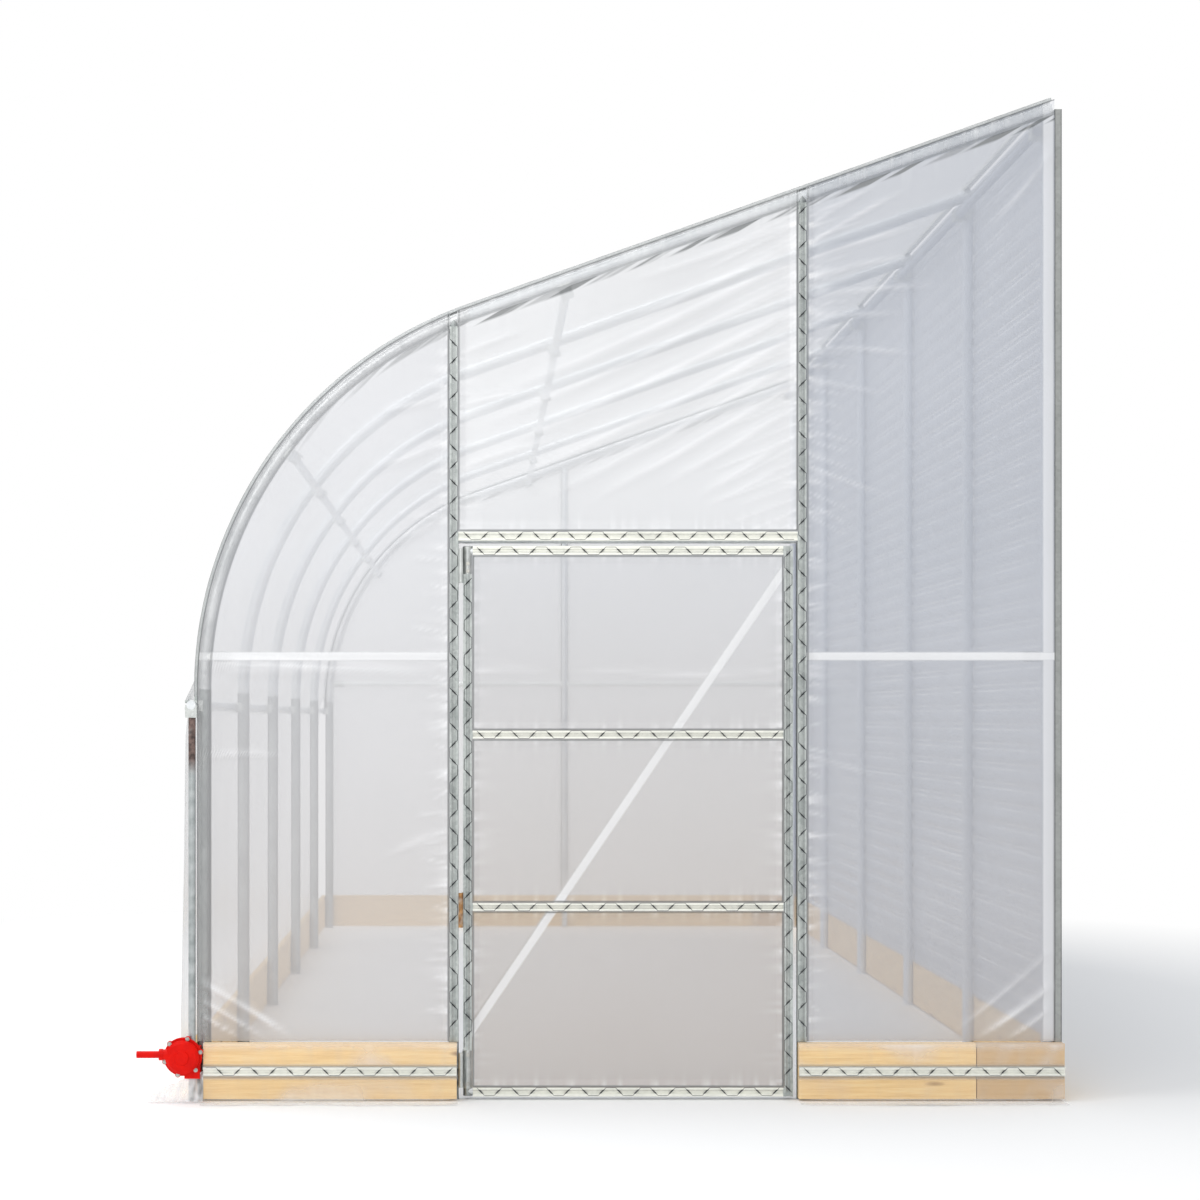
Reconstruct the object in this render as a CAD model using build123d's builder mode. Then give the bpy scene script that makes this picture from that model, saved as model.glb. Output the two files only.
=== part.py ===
from build123d import *
import math
import os

os.makedirs("parts", exist_ok=True)

# Lean-to hoop greenhouse. X runs from the low side to the wall side, Y from the front end to the back
# end, Z up from the ground. The origin is the foot of the front hoop's leg. All sizes in mm.

# frame
bays = 5
bay = 1220
length = bays * bay
hoop_d = 48
leg_h = 1430
bend_r = 1390
slope = 19.5
wall_x = 2945
wall_d = 42
rail_d = 32
weld_gap = 0.2
post_d = 35

# front end wall
left_post_x = 871
right_post_x = 2086
header_z = 1957
girt_rise = 115
back_post_x = 1494

# lock channels, films and boards
channel_w = 34
channel_t = 10
groove_w = 20
groove_t = 7
lip_w = 3
film_t = 3
board_t = 38
side_board_t = 25
board_top = 200
board_low = 8
front_board_end = 882
right_board_start = 2070
board_joint_x = 2684
joint_gap = 3
board_channel_z = 105
wall_board_t = 25
angle_w = 52
angle_t = 3
header_channel_rise = 8
sheet_t = 10

# door leaf
leaf_left = 904
leaf_right = 2053
leaf_low = 12
leaf_high = 1929
leaf_d = 34
mid_rail_zs = (672, 1272)
brace_d = 30
brace_foot = 210
brace_head = 64
hinge_zs = (105, 661, 1860)
hinge_h = 120
sleeve_low = (26, 160)
sleeve_high = (98, 2)
plate_t = 4
hinge_r = 8
sleeve_t = 1.8
girt_sleeve_t = 3.5
pin_r = 4
running_gap = 0.3

# roll-up side
hip_drop = 55
wall_rail_drop = 68
roll_d = 25
roll_wound = 4.5
roll_z = 157
pole_d = 25
pole_x = -38
pole_y = -46
gear_r = 66
gear_depth = 46
flange_t = 12
body_r = 58
body_t = 30
dome_r = 48
dome_t = 38
boss_r = 23
lug_r = 9
lugs = 6
lug_turn = 15
guide_wall = 10
guide_far = 18
guide_gap = 4
guide_step = 8
neck_out = 10
neck_r = 18
collar_r = 20
collar_t = 4
collar_run = 12
crank_rise = 9
crank_r = 12
crank_out = 82
shank_r = 8
shank_in = 26
socket_r = 7
socket_in = 30
cross_hole_r = 4
cross_hole_in = 14
roll_past = 60

# clamps and girt sleeves
clamp_w = 44
clamp_t = 5
sleeve_run = 60
sleeve_gap = 6
hip_bracket_w = 40
hip_bracket_y = 16

# values that follow from the ones above
hip_z = leg_h - hip_drop
hoop_r = hoop_d / 2
rise = math.radians(slope)
bend_angle = 90 - slope
roof_x = bend_r - bend_r * math.sin(rise)
roof_z = leg_h + bend_r * math.cos(rise)
front_face = hoop_r
post_y = -front_face + post_d / 2
hoop_ys = [bay * i for i in range(bays + 1)]
wall_in = wall_x - wall_d / 2
wall_out = wall_x + wall_d / 2
roof_run = (wall_out - roof_x) / math.cos(rise)
rafter_run = roof_run - hoop_r * math.tan(rise)
roof_plane = Plane(
    origin=(roof_x, 0, roof_z),
    x_dir=(math.cos(rise), 0, math.sin(rise)),
    z_dir=(-math.sin(rise), 0, math.cos(rise)),
)
axis_bend = Axis((bend_r, 0, leg_h), (0, 1, 0))
hip_x = -hoop_r - rail_d / 2
roll_r = roll_d / 2 + roll_wound
roll_x = -hoop_r - side_board_t - roll_r
header_channel_z = header_z + header_channel_rise
girt_z = leg_h + girt_rise
under = hoop_r + rail_d / 2
purlin_b_angle = 37
purlin_b_x = bend_r - (bend_r - under) * math.cos(math.radians(purlin_b_angle))
purlin_b_z = leg_h + (bend_r - under) * math.sin(math.radians(purlin_b_angle))
purlin_a_run = 345
wall_rail_x = wall_in - rail_d / 2


def roof_height(x):
    # height of the hoop's centre line at x
    if x < roof_x:
        return leg_h + math.sqrt(bend_r**2 - (bend_r - x) ** 2)
    return roof_z + (x - roof_x) * math.tan(rise)


wall_rail_z = roof_height(wall_rail_x) - wall_rail_drop


def save(builder, label):
    builder.part.label = label
    export_step(builder.part, "parts/" + label + ".step")


def rod(x, y, z, direction, radius, run, mode=Mode.ADD):
    # round bar or tube from a point, along a direction
    with BuildSketch(Plane(origin=(x, y, z), z_dir=direction)) as ring:
        Circle(radius)
    extrude(ring.sketch, amount=run, mode=mode)


def upright(x, y, z0, z1, radius, mode=Mode.ADD):
    rod(x, y, z0, (0, 0, 1), radius, z1 - z0, mode)


def along_y(x, z, y0, y1, radius, mode=Mode.ADD):
    rod(x, y0, z, (0, 1, 0), radius, y1 - y0, mode)


def along_x(x0, x1, y, z, radius, mode=Mode.ADD):
    rod(x0, y, z, (1, 0, 0), radius, x1 - x0, mode)


def bend_at(y, radius, mode=Mode.ADD):
    with BuildSketch(Plane.XY.offset(leg_h)) as ring:
        with Locations((0, y)):
            Circle(radius)
    revolve(ring.sketch, axis=axis_bend, revolution_arc=bend_angle, mode=mode)


def rafter_at(y, radius, mode=Mode.ADD):
    rod(roof_x, y, roof_z, roof_plane.x_dir, radius, rafter_run, mode)


def block(x0, x1, y0, y1, z0, z1, mode=Mode.ADD):
    with BuildSketch(Plane.XY.offset(z0)) as base:
        with Locations(((x0 + x1) / 2, (y0 + y1) / 2)):
            Rectangle(x1 - x0, y1 - y0)
    extrude(base.sketch, amount=z1 - z0, mode=mode)


def channel_section(start, along, outward):
    # lock channel seen along its run: a low C with inward lips, its open side outward
    half = groove_w / 2
    across = Vector(*outward).cross(Vector(*along))
    with BuildSketch(Plane(origin=start, x_dir=across, z_dir=along)) as section:
        with BuildLine():
            Polyline(
                (-channel_w / 2, 0),
                (channel_w / 2, 0),
                (channel_w / 2, channel_t),
                (half - lip_w, channel_t),
                (half, channel_t - groove_t),
                (-half, channel_t - groove_t),
                (lip_w - half, channel_t),
                (-channel_w / 2, channel_t),
                close=True,
            )
        make_face()
    return section.sketch


def channel_run(start, along, outward, run):
    extrude(channel_section(start, along, outward), amount=run)


def gable(plane, x0, x1, z0, reach):
    # the end wall's outline between x0 and x1, above z0, out to reach beyond the hoop's centre line
    end = (roof_x - reach * math.sin(rise), roof_z + reach * math.cos(rise))
    top = (wall_out, end[1] + (wall_out - end[0]) * math.tan(rise))
    with BuildSketch(plane) as face:
        with BuildLine():
            CenterArc((bend_r, leg_h), bend_r + reach, 180, -bend_angle)
            Polyline(end, top, (wall_out, 0), (-reach, 0), (-reach, leg_h))
        make_face()
        with Locations(((x0 + x1) / 2, z0 + leg_h * 2)):
            Rectangle(x1 - x0, leg_h * 4, mode=Mode.INTERSECT)
    return face.sketch


# hoops, wall posts and rails

with BuildPart() as hoop_legs:
    for y in hoop_ys:
        upright(0, y, 0, leg_h, hoop_r)
save(hoop_legs, "hoop_legs")

with BuildPart() as end_hoop_bends:
    for y in (0, length):
        bend_at(y, hoop_r)
save(end_hoop_bends, "end_hoop_bends")

with BuildPart() as inner_hoop_bends:
    for y in hoop_ys[1:-1]:
        bend_at(y, hoop_r)
save(inner_hoop_bends, "inner_hoop_bends")

with BuildPart() as hoop_rafters:
    for y in hoop_ys:
        rafter_at(y, hoop_r)
save(hoop_rafters, "hoop_rafters")

with BuildPart() as wall_posts:
    for y in hoop_ys:
        upright(wall_x, y, 0, roof_height(wall_x), wall_d / 2)
        rod(roof_x, y, roof_z, roof_plane.x_dir, hoop_r, roof_run + wall_d, mode=Mode.SUBTRACT)
save(wall_posts, "wall_posts")

rail_y0 = -hoop_r
rail_y1 = length + hoop_r
purlin_a = roof_plane.from_local_coords((purlin_a_run, 0, -under))

with BuildPart() as purlins:
    for x, z in ((purlin_a.X, purlin_a.Z), (purlin_b_x, purlin_b_z)):
        along_y(x, z, rail_y0 + film_t, rail_y1 - film_t, rail_d / 2)
save(purlins, "purlins")

with BuildPart() as wall_rail:
    along_y(wall_rail_x, wall_rail_z, rail_y0 + film_t, rail_y1 - film_t, rail_d / 2)
save(wall_rail, "wall_rail")

with BuildPart() as hip_rail:
    along_y(hip_x, hip_z, pole_y - pole_d / 2 - 4, rail_y1, rail_d / 2)
save(hip_rail, "hip_rail")

# end walls

with BuildPart() as front_door_posts:
    for x in (left_post_x, right_post_x):
        upright(x, post_y, 0, roof_height(x), post_d / 2)
    bend_at(0, hoop_r, mode=Mode.SUBTRACT)
    rafter_at(0, hoop_r, mode=Mode.SUBTRACT)
save(front_door_posts, "front_door_posts")

with BuildPart() as front_header:
    along_x(left_post_x, right_post_x, post_y, header_z, post_d / 2)
    for x in (left_post_x, right_post_x):
        upright(x, post_y, 0, roof_height(x), post_d / 2, mode=Mode.SUBTRACT)
save(front_header, "front_header")

girt_y = -front_face + rail_d / 2
girt_x0 = bend_r - math.sqrt(bend_r**2 - (girt_z - leg_h) ** 2)

back_post_y = length - post_y
back_girt_y = length - girt_y
back_posts = ((back_post_x, back_post_y, post_d), (wall_x, length, wall_d))

with BuildPart() as end_girts:
    for x0, x1 in ((girt_x0, left_post_x), (right_post_x, wall_x)):
        along_x(x0, x1, girt_y, girt_z, rail_d / 2)
    for x0, x1 in ((girt_x0, back_post_x), (back_post_x, wall_x)):
        along_x(x0, x1, back_girt_y, girt_z, rail_d / 2)
    for y in (0, length):
        bend_at(y, hoop_r + weld_gap, mode=Mode.SUBTRACT)
    front_posts = ((left_post_x, post_y, post_d), (right_post_x, post_y, post_d), (wall_x, 0, wall_d))
    for x, y, d in front_posts + back_posts:
        upright(x, y, 0, leg_h * 2, d / 2, mode=Mode.SUBTRACT)
save(end_girts, "end_girts")

with BuildPart() as back_post:
    upright(back_post_x, back_post_y, 0, roof_height(back_post_x), post_d / 2)
    rafter_at(length, hoop_r, mode=Mode.SUBTRACT)
save(back_post, "back_post")

# baseboards

board_front = -front_face - board_t
board_back = length + front_face

with BuildPart() as front_baseboards:
    block(joint_gap, front_board_end, board_front, -front_face, board_low, board_top)
    block(right_board_start, board_joint_x, board_front, -front_face, board_low, board_top)
    block(board_joint_x + joint_gap, wall_out + wall_board_t, board_front, -front_face, board_low, board_top)
save(front_baseboards, "front_baseboards")

board_splits = (rail_y0, bay * 2, bay * 4, board_back + board_t)

with BuildPart() as side_baseboard:
    for y0, y1 in zip(board_splits[:-1], board_splits[1:]):
        block(-hoop_r - side_board_t, -hoop_r, y0, y1 - joint_gap, board_low, board_top)
save(side_baseboard, "side_baseboard")

with BuildPart() as back_baseboard:
    block(-hoop_r, back_post_x, board_back, board_back + board_t, board_low, board_top)
    block(back_post_x + joint_gap, wall_out, board_back, board_back + board_t, board_low, board_top)
save(back_baseboard, "back_baseboard")

with BuildPart() as wall_baseboard:
    for y0, y1 in zip(board_splits[:-1], board_splits[1:]):
        block(wall_out, wall_out + wall_board_t, y0, y1 - joint_gap, board_low, board_top)
save(wall_baseboard, "wall_baseboard")

# lock channels

roof_start = (roof_x - hoop_r * math.sin(rise), roof_z + hoop_r * math.cos(rise))
channel_low = board_top + film_t

with BuildPart() as end_hoop_channels:
    for y in (0, length):
        channel_run((-hoop_r, y, hip_z + rail_d / 2), (0, 0, 1), (-1, 0, 0), leg_h - hip_z - rail_d / 2)
        revolve(
            channel_section((-hoop_r, y, leg_h), (0, 0, 1), (-1, 0, 0)),
            axis=axis_bend,
            revolution_arc=bend_angle,
        )
        channel_run((roof_start[0], y, roof_start[1]), roof_plane.x_dir, roof_plane.z_dir, roof_run)
save(end_hoop_channels, "end_hoop_channels")

corner_top = roof_height(wall_out) - channel_t

with BuildPart() as upright_channels:
    for x, y, out in (
        (left_post_x, -front_face, -1),
        (right_post_x, -front_face, -1),
        (back_post_x, length + front_face, 1),
    ):
        top = roof_height(x) - hoop_r / math.cos(rise)
        channel_run((x, y, channel_low), (0, 0, 1), (0, out, 0), top - channel_low)
    for y in (0, length):
        channel_run((wall_out, y, board_top), (0, 0, 1), (1, 0, 0), corner_top - board_top)
save(upright_channels, "upright_channels")

with BuildPart() as header_channel:
    channel_run((left_post_x + channel_w / 2, -front_face, header_channel_z), (1, 0, 0), (0, -1, 0),
                right_post_x - left_post_x - channel_w)
save(header_channel, "header_channel")

with BuildPart() as corner_angles:
    for y, into in ((-front_face, 1), (length + front_face, -1)):
        block(wall_out, wall_out + wall_board_t, *sorted((y, y + into * angle_t)), board_top, corner_top)
        block(wall_out + channel_t, wall_out + channel_t + angle_t, *sorted((y, y + into * angle_w)),
              board_top, corner_top)
save(corner_angles, "corner_angles")

with BuildPart() as board_channels:
    for x0, x1 in ((joint_gap, front_board_end), (right_board_start, wall_out + wall_board_t)):
        channel_run((x0, board_front, board_channel_z), (1, 0, 0), (0, -1, 0), x1 - x0)
    channel_run((-hoop_r, board_back + board_t, board_channel_z), (1, 0, 0), (0, 1, 0), wall_out + hoop_r)
save(board_channels, "board_channels")

with BuildPart() as hip_channel:
    channel_run((hip_x - rail_d / 2, rail_y0, hip_z), (0, 1, 0), (-1, 0, 0), rail_y1 - rail_y0)
save(hip_channel, "hip_channel")

roof_edge_y0 = channel_w / 2
roof_edge_y1 = length - channel_w / 2
ridge_from = roof_run - channel_w

with BuildPart() as ridge_channel:
    start = roof_plane.from_local_coords((roof_run - channel_w / 2, roof_edge_y0, hoop_r))
    channel_run(start, (0, 1, 0), roof_plane.z_dir, roof_edge_y1 - roof_edge_y0)
save(ridge_channel, "ridge_channel")

# films

front_film = Plane.XZ.offset(front_face)
half_channel = channel_w / 2

with BuildPart() as front_left_film:
    extrude(gable(front_film, -hoop_r, left_post_x - half_channel, board_top + film_t, hoop_r), amount=film_t)
save(front_left_film, "front_left_film")

with BuildPart() as front_right_film:
    extrude(gable(front_film, right_post_x + half_channel, wall_out, board_top + film_t, hoop_r), amount=film_t)
save(front_right_film, "front_right_film")

header_top = header_channel_z + half_channel

with BuildPart() as front_top_film:
    extrude(gable(front_film, left_post_x + half_channel, right_post_x - half_channel, header_top, hoop_r),
            amount=film_t)
save(front_top_film, "front_top_film")


def apron(x0, x1, y_board, out):
    # film folded over a baseboard's top and down its face to the channel, and hanging below the channel
    y_out = y_board + out * film_t
    y_in = y_board - out * board_t
    channel_z = (board_channel_z - half_channel, board_channel_z + half_channel)
    block(x0, x1, *sorted((y_out, y_in)), board_top, board_top + film_t)
    block(x0, x1, *sorted((y_board, y_out)), channel_z[1], board_top)
    block(x0, x1, *sorted((y_board, y_out)), 0, channel_z[0])


with BuildPart() as board_aprons:
    apron(joint_gap, front_board_end, board_front, -1)
    apron(right_board_start, wall_out + wall_board_t, board_front, -1)
    apron(-hoop_r, wall_out, board_back + board_t, 1)
save(board_aprons, "board_aprons")

back_film_plane = Plane.XZ.offset(-length - front_face - film_t)

with BuildPart() as back_film:
    for x0, x1 in ((-hoop_r, back_post_x - half_channel), (back_post_x + half_channel, wall_out)):
        extrude(gable(back_film_plane, x0, x1, board_top + film_t, hoop_r), amount=film_t)
save(back_film, "back_film")

with BuildPart() as eave_film:
    block(-hoop_r - film_t, -hoop_r, roof_edge_y0, roof_edge_y1, hip_z + rail_d / 2, leg_h)
    with BuildSketch(Plane.XY.offset(leg_h)):
        with Locations((-hoop_r - film_t / 2, length / 2)):
            Rectangle(film_t, roof_edge_y1 - roof_edge_y0)
    revolve(axis=axis_bend, revolution_arc=bend_angle)
save(eave_film, "eave_film")

with BuildPart() as roof_film:
    with BuildSketch(roof_plane.offset(hoop_r)):
        with Locations((ridge_from / 2, length / 2)):
            Rectangle(ridge_from, roof_edge_y1 - roof_edge_y0)
    extrude(amount=film_t)
save(roof_film, "roof_film")

curtain_top = hip_z - channel_w / 2
curtain_x = hip_x - rail_d / 2

with BuildPart() as roll_up_curtain:
    with BuildSketch(Plane.XZ):
        with BuildLine():
            Polyline(
                (curtain_x, curtain_top),
                (curtain_x - film_t, curtain_top),
                (roll_x - film_t / 2, roll_z + roll_r - 1),
                (roll_x + film_t / 2, roll_z + roll_r - 1),
                close=True,
            )
        make_face()
        with Locations((roll_x, roll_z)):
            Circle(roll_r)
            Circle(roll_d / 2, mode=Mode.SUBTRACT)
    extrude(amount=-length)
save(roll_up_curtain, "roll_up_curtain")

with BuildPart() as wall_sheet:
    block(wall_out, wall_out + sheet_t, half_channel, length - half_channel, board_top,
          roof_height(wall_out + sheet_t) + hoop_r)
save(wall_sheet, "wall_sheet")

# door leaf, hung on the left door post and swinging outward

stile_xs = (leaf_left + leaf_d / 2, leaf_right - leaf_d / 2)
rail_zs = (leaf_low + leaf_d / 2, *mid_rail_zs, leaf_high - leaf_d / 2)
rail_x0 = leaf_left + leaf_d
rail_x1 = leaf_right - leaf_d
leaf_y = -front_face + leaf_d / 2
leaf_front = -front_face
hinge_x = (left_post_x + post_d / 2 + leaf_left) / 2
hinge_y = -front_face - channel_t - hinge_r

sleeve_zs = (
    (leaf_low + sleeve_low[0], leaf_low + sleeve_low[1]),
    (leaf_high - sleeve_high[0], leaf_high - sleeve_high[1]),
)

with BuildPart() as door_stiles:
    for x in stile_xs:
        upright(x, leaf_y, leaf_low, leaf_high, leaf_d / 2)
save(door_stiles, "door_stiles")

with BuildPart() as door_rails:
    for z in rail_zs:
        along_x(stile_xs[0], stile_xs[1], leaf_y, z, leaf_d / 2)
    for x in stile_xs:
        upright(x, leaf_y, leaf_low - leaf_d, leaf_high + leaf_d, leaf_d / 2, mode=Mode.SUBTRACT)
save(door_rails, "door_rails")

brace_y = leaf_y + leaf_d / 2 + brace_d / 2
brace_low = (stile_xs[0], leaf_low + brace_foot)
brace_high = (stile_xs[1], leaf_high - brace_head)
brace_run = math.dist(brace_low, brace_high)
brace_way = ((brace_high[0] - brace_low[0]) / brace_run, 0, (brace_high[1] - brace_low[1]) / brace_run)

with BuildPart() as door_brace:
    rod(brace_low[0], brace_y, brace_low[1], brace_way, brace_d / 2, brace_run)
save(door_brace, "door_brace")

with BuildPart() as door_stile_channels:
    for x, z0, z1 in ((stile_xs[0], sleeve_zs[0][1], sleeve_zs[1][0]), (stile_xs[1], leaf_low, leaf_high)):
        channel_run((x, leaf_front, z0), (0, 0, 1), (0, -1, 0), z1 - z0)
save(door_stile_channels, "door_stile_channels")

with BuildPart() as door_rail_channels:
    for z in rail_zs:
        channel_run((rail_x0, leaf_front, z), (1, 0, 0), (0, -1, 0), rail_x1 - rail_x0)
save(door_rail_channels, "door_rail_channels")

with BuildPart() as door_film:
    for z0, z1 in zip(rail_zs[:-1], rail_zs[1:]):
        block(rail_x0, rail_x1, leaf_front - film_t, leaf_front, z0 + half_channel, z1 - half_channel)
save(door_film, "door_film")

# hinges: the leaf's strap and barrel turn on a pin that the post's bracket carries

barrel_h = hinge_h / 2
plate_in = left_post_x + half_channel

with BuildPart() as hinge_straps:
    for z in hinge_zs:
        upright(hinge_x, hinge_y, z, z + barrel_h, hinge_r)
        block(leaf_left - plate_t, leaf_left, hinge_y, leaf_y, z, z + barrel_h)
        upright(hinge_x, hinge_y, z, z + barrel_h, pin_r + running_gap, mode=Mode.SUBTRACT)
    for z0, z1 in sleeve_zs:
        upright(stile_xs[0], leaf_y, z0, z1, leaf_d / 2 + sleeve_t)
    upright(stile_xs[0], leaf_y, leaf_low, leaf_high, leaf_d / 2, mode=Mode.SUBTRACT)
    for z in (rail_zs[0], rail_zs[-1]):
        along_x(stile_xs[0], stile_xs[1], leaf_y, z, leaf_d / 2, mode=Mode.SUBTRACT)
save(hinge_straps, "hinge_straps")

with BuildPart() as hinge_brackets:
    for z in hinge_zs:
        low = z - barrel_h
        upright(hinge_x, hinge_y, low, z - running_gap, hinge_r)
        block(plate_in, plate_in + plate_t, hinge_y, post_y, low, z - running_gap)
        upright(hinge_x, hinge_y, low, z + barrel_h - plate_t, pin_r)
    upright(left_post_x, post_y, 0, leaf_high, post_d / 2, mode=Mode.SUBTRACT)
save(hinge_brackets, "hinge_brackets")

# roll-up side: roll tube, guide pole and hand crank

gear_y1 = pole_y - pole_d / 2 - guide_step
gear_y0 = gear_y1 - gear_depth
crank_z = roll_z + crank_rise
crank_y = (gear_y0 + gear_y1) / 2 + collar_t
neck_x = roll_x - gear_r - neck_out
crank_x = neck_x - crank_out
guide_x0 = pole_x - pole_d / 2 - guide_wall
guide_x1 = pole_x + pole_d / 2 + guide_far
guide_z0 = roll_z - gear_r - guide_wall
guide_z1 = roll_z + gear_r / 2

with BuildPart() as roll_tube:
    along_y(roll_x, roll_z, gear_y1, length + roll_past, roll_d / 2)
save(roll_tube, "roll_tube")

with BuildPart() as guide_pole:
    upright(pole_x, pole_y, 0, hip_z - rail_d / 2, pole_d / 2)
save(guide_pole, "guide_pole")

# the housing is turned about the roll's axis: rear flange, body, domed cover and centre boss
housing_profile = (
    (0, gear_y1),
    (gear_r, gear_y1),
    (gear_r, gear_y1 - flange_t),
    (body_r, gear_y1 - flange_t),
    (body_r, gear_y1 - body_t),
    (dome_r, gear_y1 - dome_t),
    (boss_r + 3, gear_y1 - dome_t - 3),
    (boss_r, gear_y0),
    (0, gear_y0),
)

with BuildPart() as crank_gearbox:
    with BuildSketch(Plane(origin=(roll_x, 0, roll_z), x_dir=(1, 0, 0), z_dir=(0, 0, 1))) as half_section:
        with BuildLine():
            Polyline(*housing_profile, close=True)
        make_face()
    revolve(half_section.sketch, axis=Axis((roll_x, 0, roll_z), (0, 1, 0)), revolution_arc=360)
    for i in range(lugs):
        turn = math.radians(360 / lugs * i + lug_turn)
        lug_x = roll_x + (gear_r - 2) * math.cos(turn)
        lug_z = roll_z + (gear_r - 2) * math.sin(turn)
        along_y(lug_x, lug_z, gear_y1 - flange_t - 4, gear_y1, lug_r)
    along_x(neck_x, roll_x, crank_y, crank_z, neck_r)
    along_x(neck_x - collar_t, neck_x - collar_t + collar_run, crank_y, crank_z, collar_r)
    block(guide_x0, guide_x1, gear_y1 - guide_wall, -front_face - guide_gap, guide_z0, guide_z1)
    along_y(roll_x, roll_z, gear_y1, -front_face, roll_d / 2 + weld_gap, mode=Mode.SUBTRACT)
    upright(pole_x, pole_y, guide_z0, guide_z1, pole_d / 2 + running_gap, mode=Mode.SUBTRACT)
    along_x(neck_x - collar_t - 1, neck_x + shank_in, crank_y, crank_z, shank_r + running_gap, mode=Mode.SUBTRACT)
save(crank_gearbox, "crank_gearbox")

with BuildPart() as crank_shaft:
    along_x(crank_x, neck_x - collar_t - running_gap, crank_y, crank_z, crank_r)
    along_x(neck_x - collar_t - 1, neck_x + shank_in - running_gap, crank_y, crank_z, shank_r)
    along_x(crank_x, crank_x + socket_in, crank_y, crank_z, socket_r, mode=Mode.SUBTRACT)
    with BuildSketch(Plane.XY.offset(crank_z - crank_r * 2)) as pin_hole:
        with Locations((crank_x + cross_hole_in, crank_y)):
            Circle(cross_hole_r)
    extrude(pin_hole.sketch, amount=crank_r * 4, mode=Mode.SUBTRACT)
save(crank_shaft, "crank_shaft")

with BuildPart() as girt_sleeves:
    for y in (girt_y, back_girt_y):
        for x in (girt_x0 + hoop_r + sleeve_gap, wall_in - sleeve_run - sleeve_gap):
            along_x(x, x + sleeve_run, y, girt_z, rail_d / 2 + girt_sleeve_t)
            along_x(x, x + sleeve_run, y, girt_z, rail_d / 2 + weld_gap, mode=Mode.SUBTRACT)
    block(0, wall_x, -length, -front_face, 0, leg_h * 2, mode=Mode.SUBTRACT)
    block(0, wall_x, length + front_face, length * 2, 0, leg_h * 2, mode=Mode.SUBTRACT)
save(girt_sleeves, "girt_sleeves")

# clamps that tie the long rails to the hoops and wall posts

clamp_spots = (
    (purlin_a.X, purlin_a.Z, slope),
    (purlin_b_x, purlin_b_z, bend_angle + slope - purlin_b_angle),
)

with BuildPart() as rail_clamps:
    for y in hoop_ys:
        for x, z, tilt in clamp_spots:
            lean = math.radians(tilt)
            up = (-math.sin(lean), 0, math.cos(lean))
            seat = Plane(origin=(x, y, z), x_dir=(math.cos(lean), 0, math.sin(lean)), z_dir=up)
            with BuildSketch(seat.offset(-rail_d / 2 - clamp_t)) as foot:
                Rectangle(rail_d + clamp_t * 2, clamp_w)
            extrude(foot.sketch, amount=under + clamp_t * 2)
        block(wall_rail_x - rail_d / 2 - clamp_t, wall_x + wall_d / 4, y - hoop_r, y + hoop_r,
              wall_rail_z - clamp_w / 2, wall_rail_z + clamp_w / 2)
        block(hip_x, 0, y - hoop_r, y + hoop_r, hip_z - clamp_w / 2, hip_z + rail_d / 2)
        bend_at(y, hoop_r + weld_gap, mode=Mode.SUBTRACT)
        rafter_at(y, hoop_r + weld_gap, mode=Mode.SUBTRACT)
        upright(0, y, 0, leg_h, hoop_r + weld_gap, mode=Mode.SUBTRACT)
        upright(wall_x, y, 0, leg_h * 3, wall_d / 2 + weld_gap, mode=Mode.SUBTRACT)
    block(hip_x - hip_bracket_w / 2, hip_x + hip_bracket_w / 2, pole_y - hip_bracket_y, -front_face - film_t,
          hip_z - clamp_w, hip_z)
    upright(pole_x, pole_y, 0, hip_z, pole_d / 2 + weld_gap, mode=Mode.SUBTRACT)
    for x, z in (
        (purlin_a.X, purlin_a.Z),
        (purlin_b_x, purlin_b_z),
        (wall_rail_x, wall_rail_z),
        (hip_x, hip_z),
    ):
        along_y(x, z, -length, length * 2, rail_d / 2 + weld_gap, mode=Mode.SUBTRACT)
    for y0, y1 in ((-film_t - front_face, -front_face), (length + front_face, length + front_face + film_t)):
        block(0, wall_x, y0, y1, 0, leg_h * 3, mode=Mode.SUBTRACT)
save(rail_clamps, "rail_clamps")
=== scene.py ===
import bpy
import math
import random
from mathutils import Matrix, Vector, noise


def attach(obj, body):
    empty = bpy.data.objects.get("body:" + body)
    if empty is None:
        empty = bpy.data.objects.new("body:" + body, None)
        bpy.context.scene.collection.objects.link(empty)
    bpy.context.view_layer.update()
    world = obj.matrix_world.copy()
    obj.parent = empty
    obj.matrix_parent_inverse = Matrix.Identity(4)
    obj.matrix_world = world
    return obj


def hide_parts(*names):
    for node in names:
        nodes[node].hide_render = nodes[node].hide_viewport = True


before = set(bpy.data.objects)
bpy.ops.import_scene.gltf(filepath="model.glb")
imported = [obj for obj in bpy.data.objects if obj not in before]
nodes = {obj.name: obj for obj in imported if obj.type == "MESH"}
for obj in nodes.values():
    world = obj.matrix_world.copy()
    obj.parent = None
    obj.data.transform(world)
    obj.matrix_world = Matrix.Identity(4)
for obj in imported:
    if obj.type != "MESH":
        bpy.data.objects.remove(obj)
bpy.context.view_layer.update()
print("frame loaded,", len(nodes), "nodes")

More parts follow.
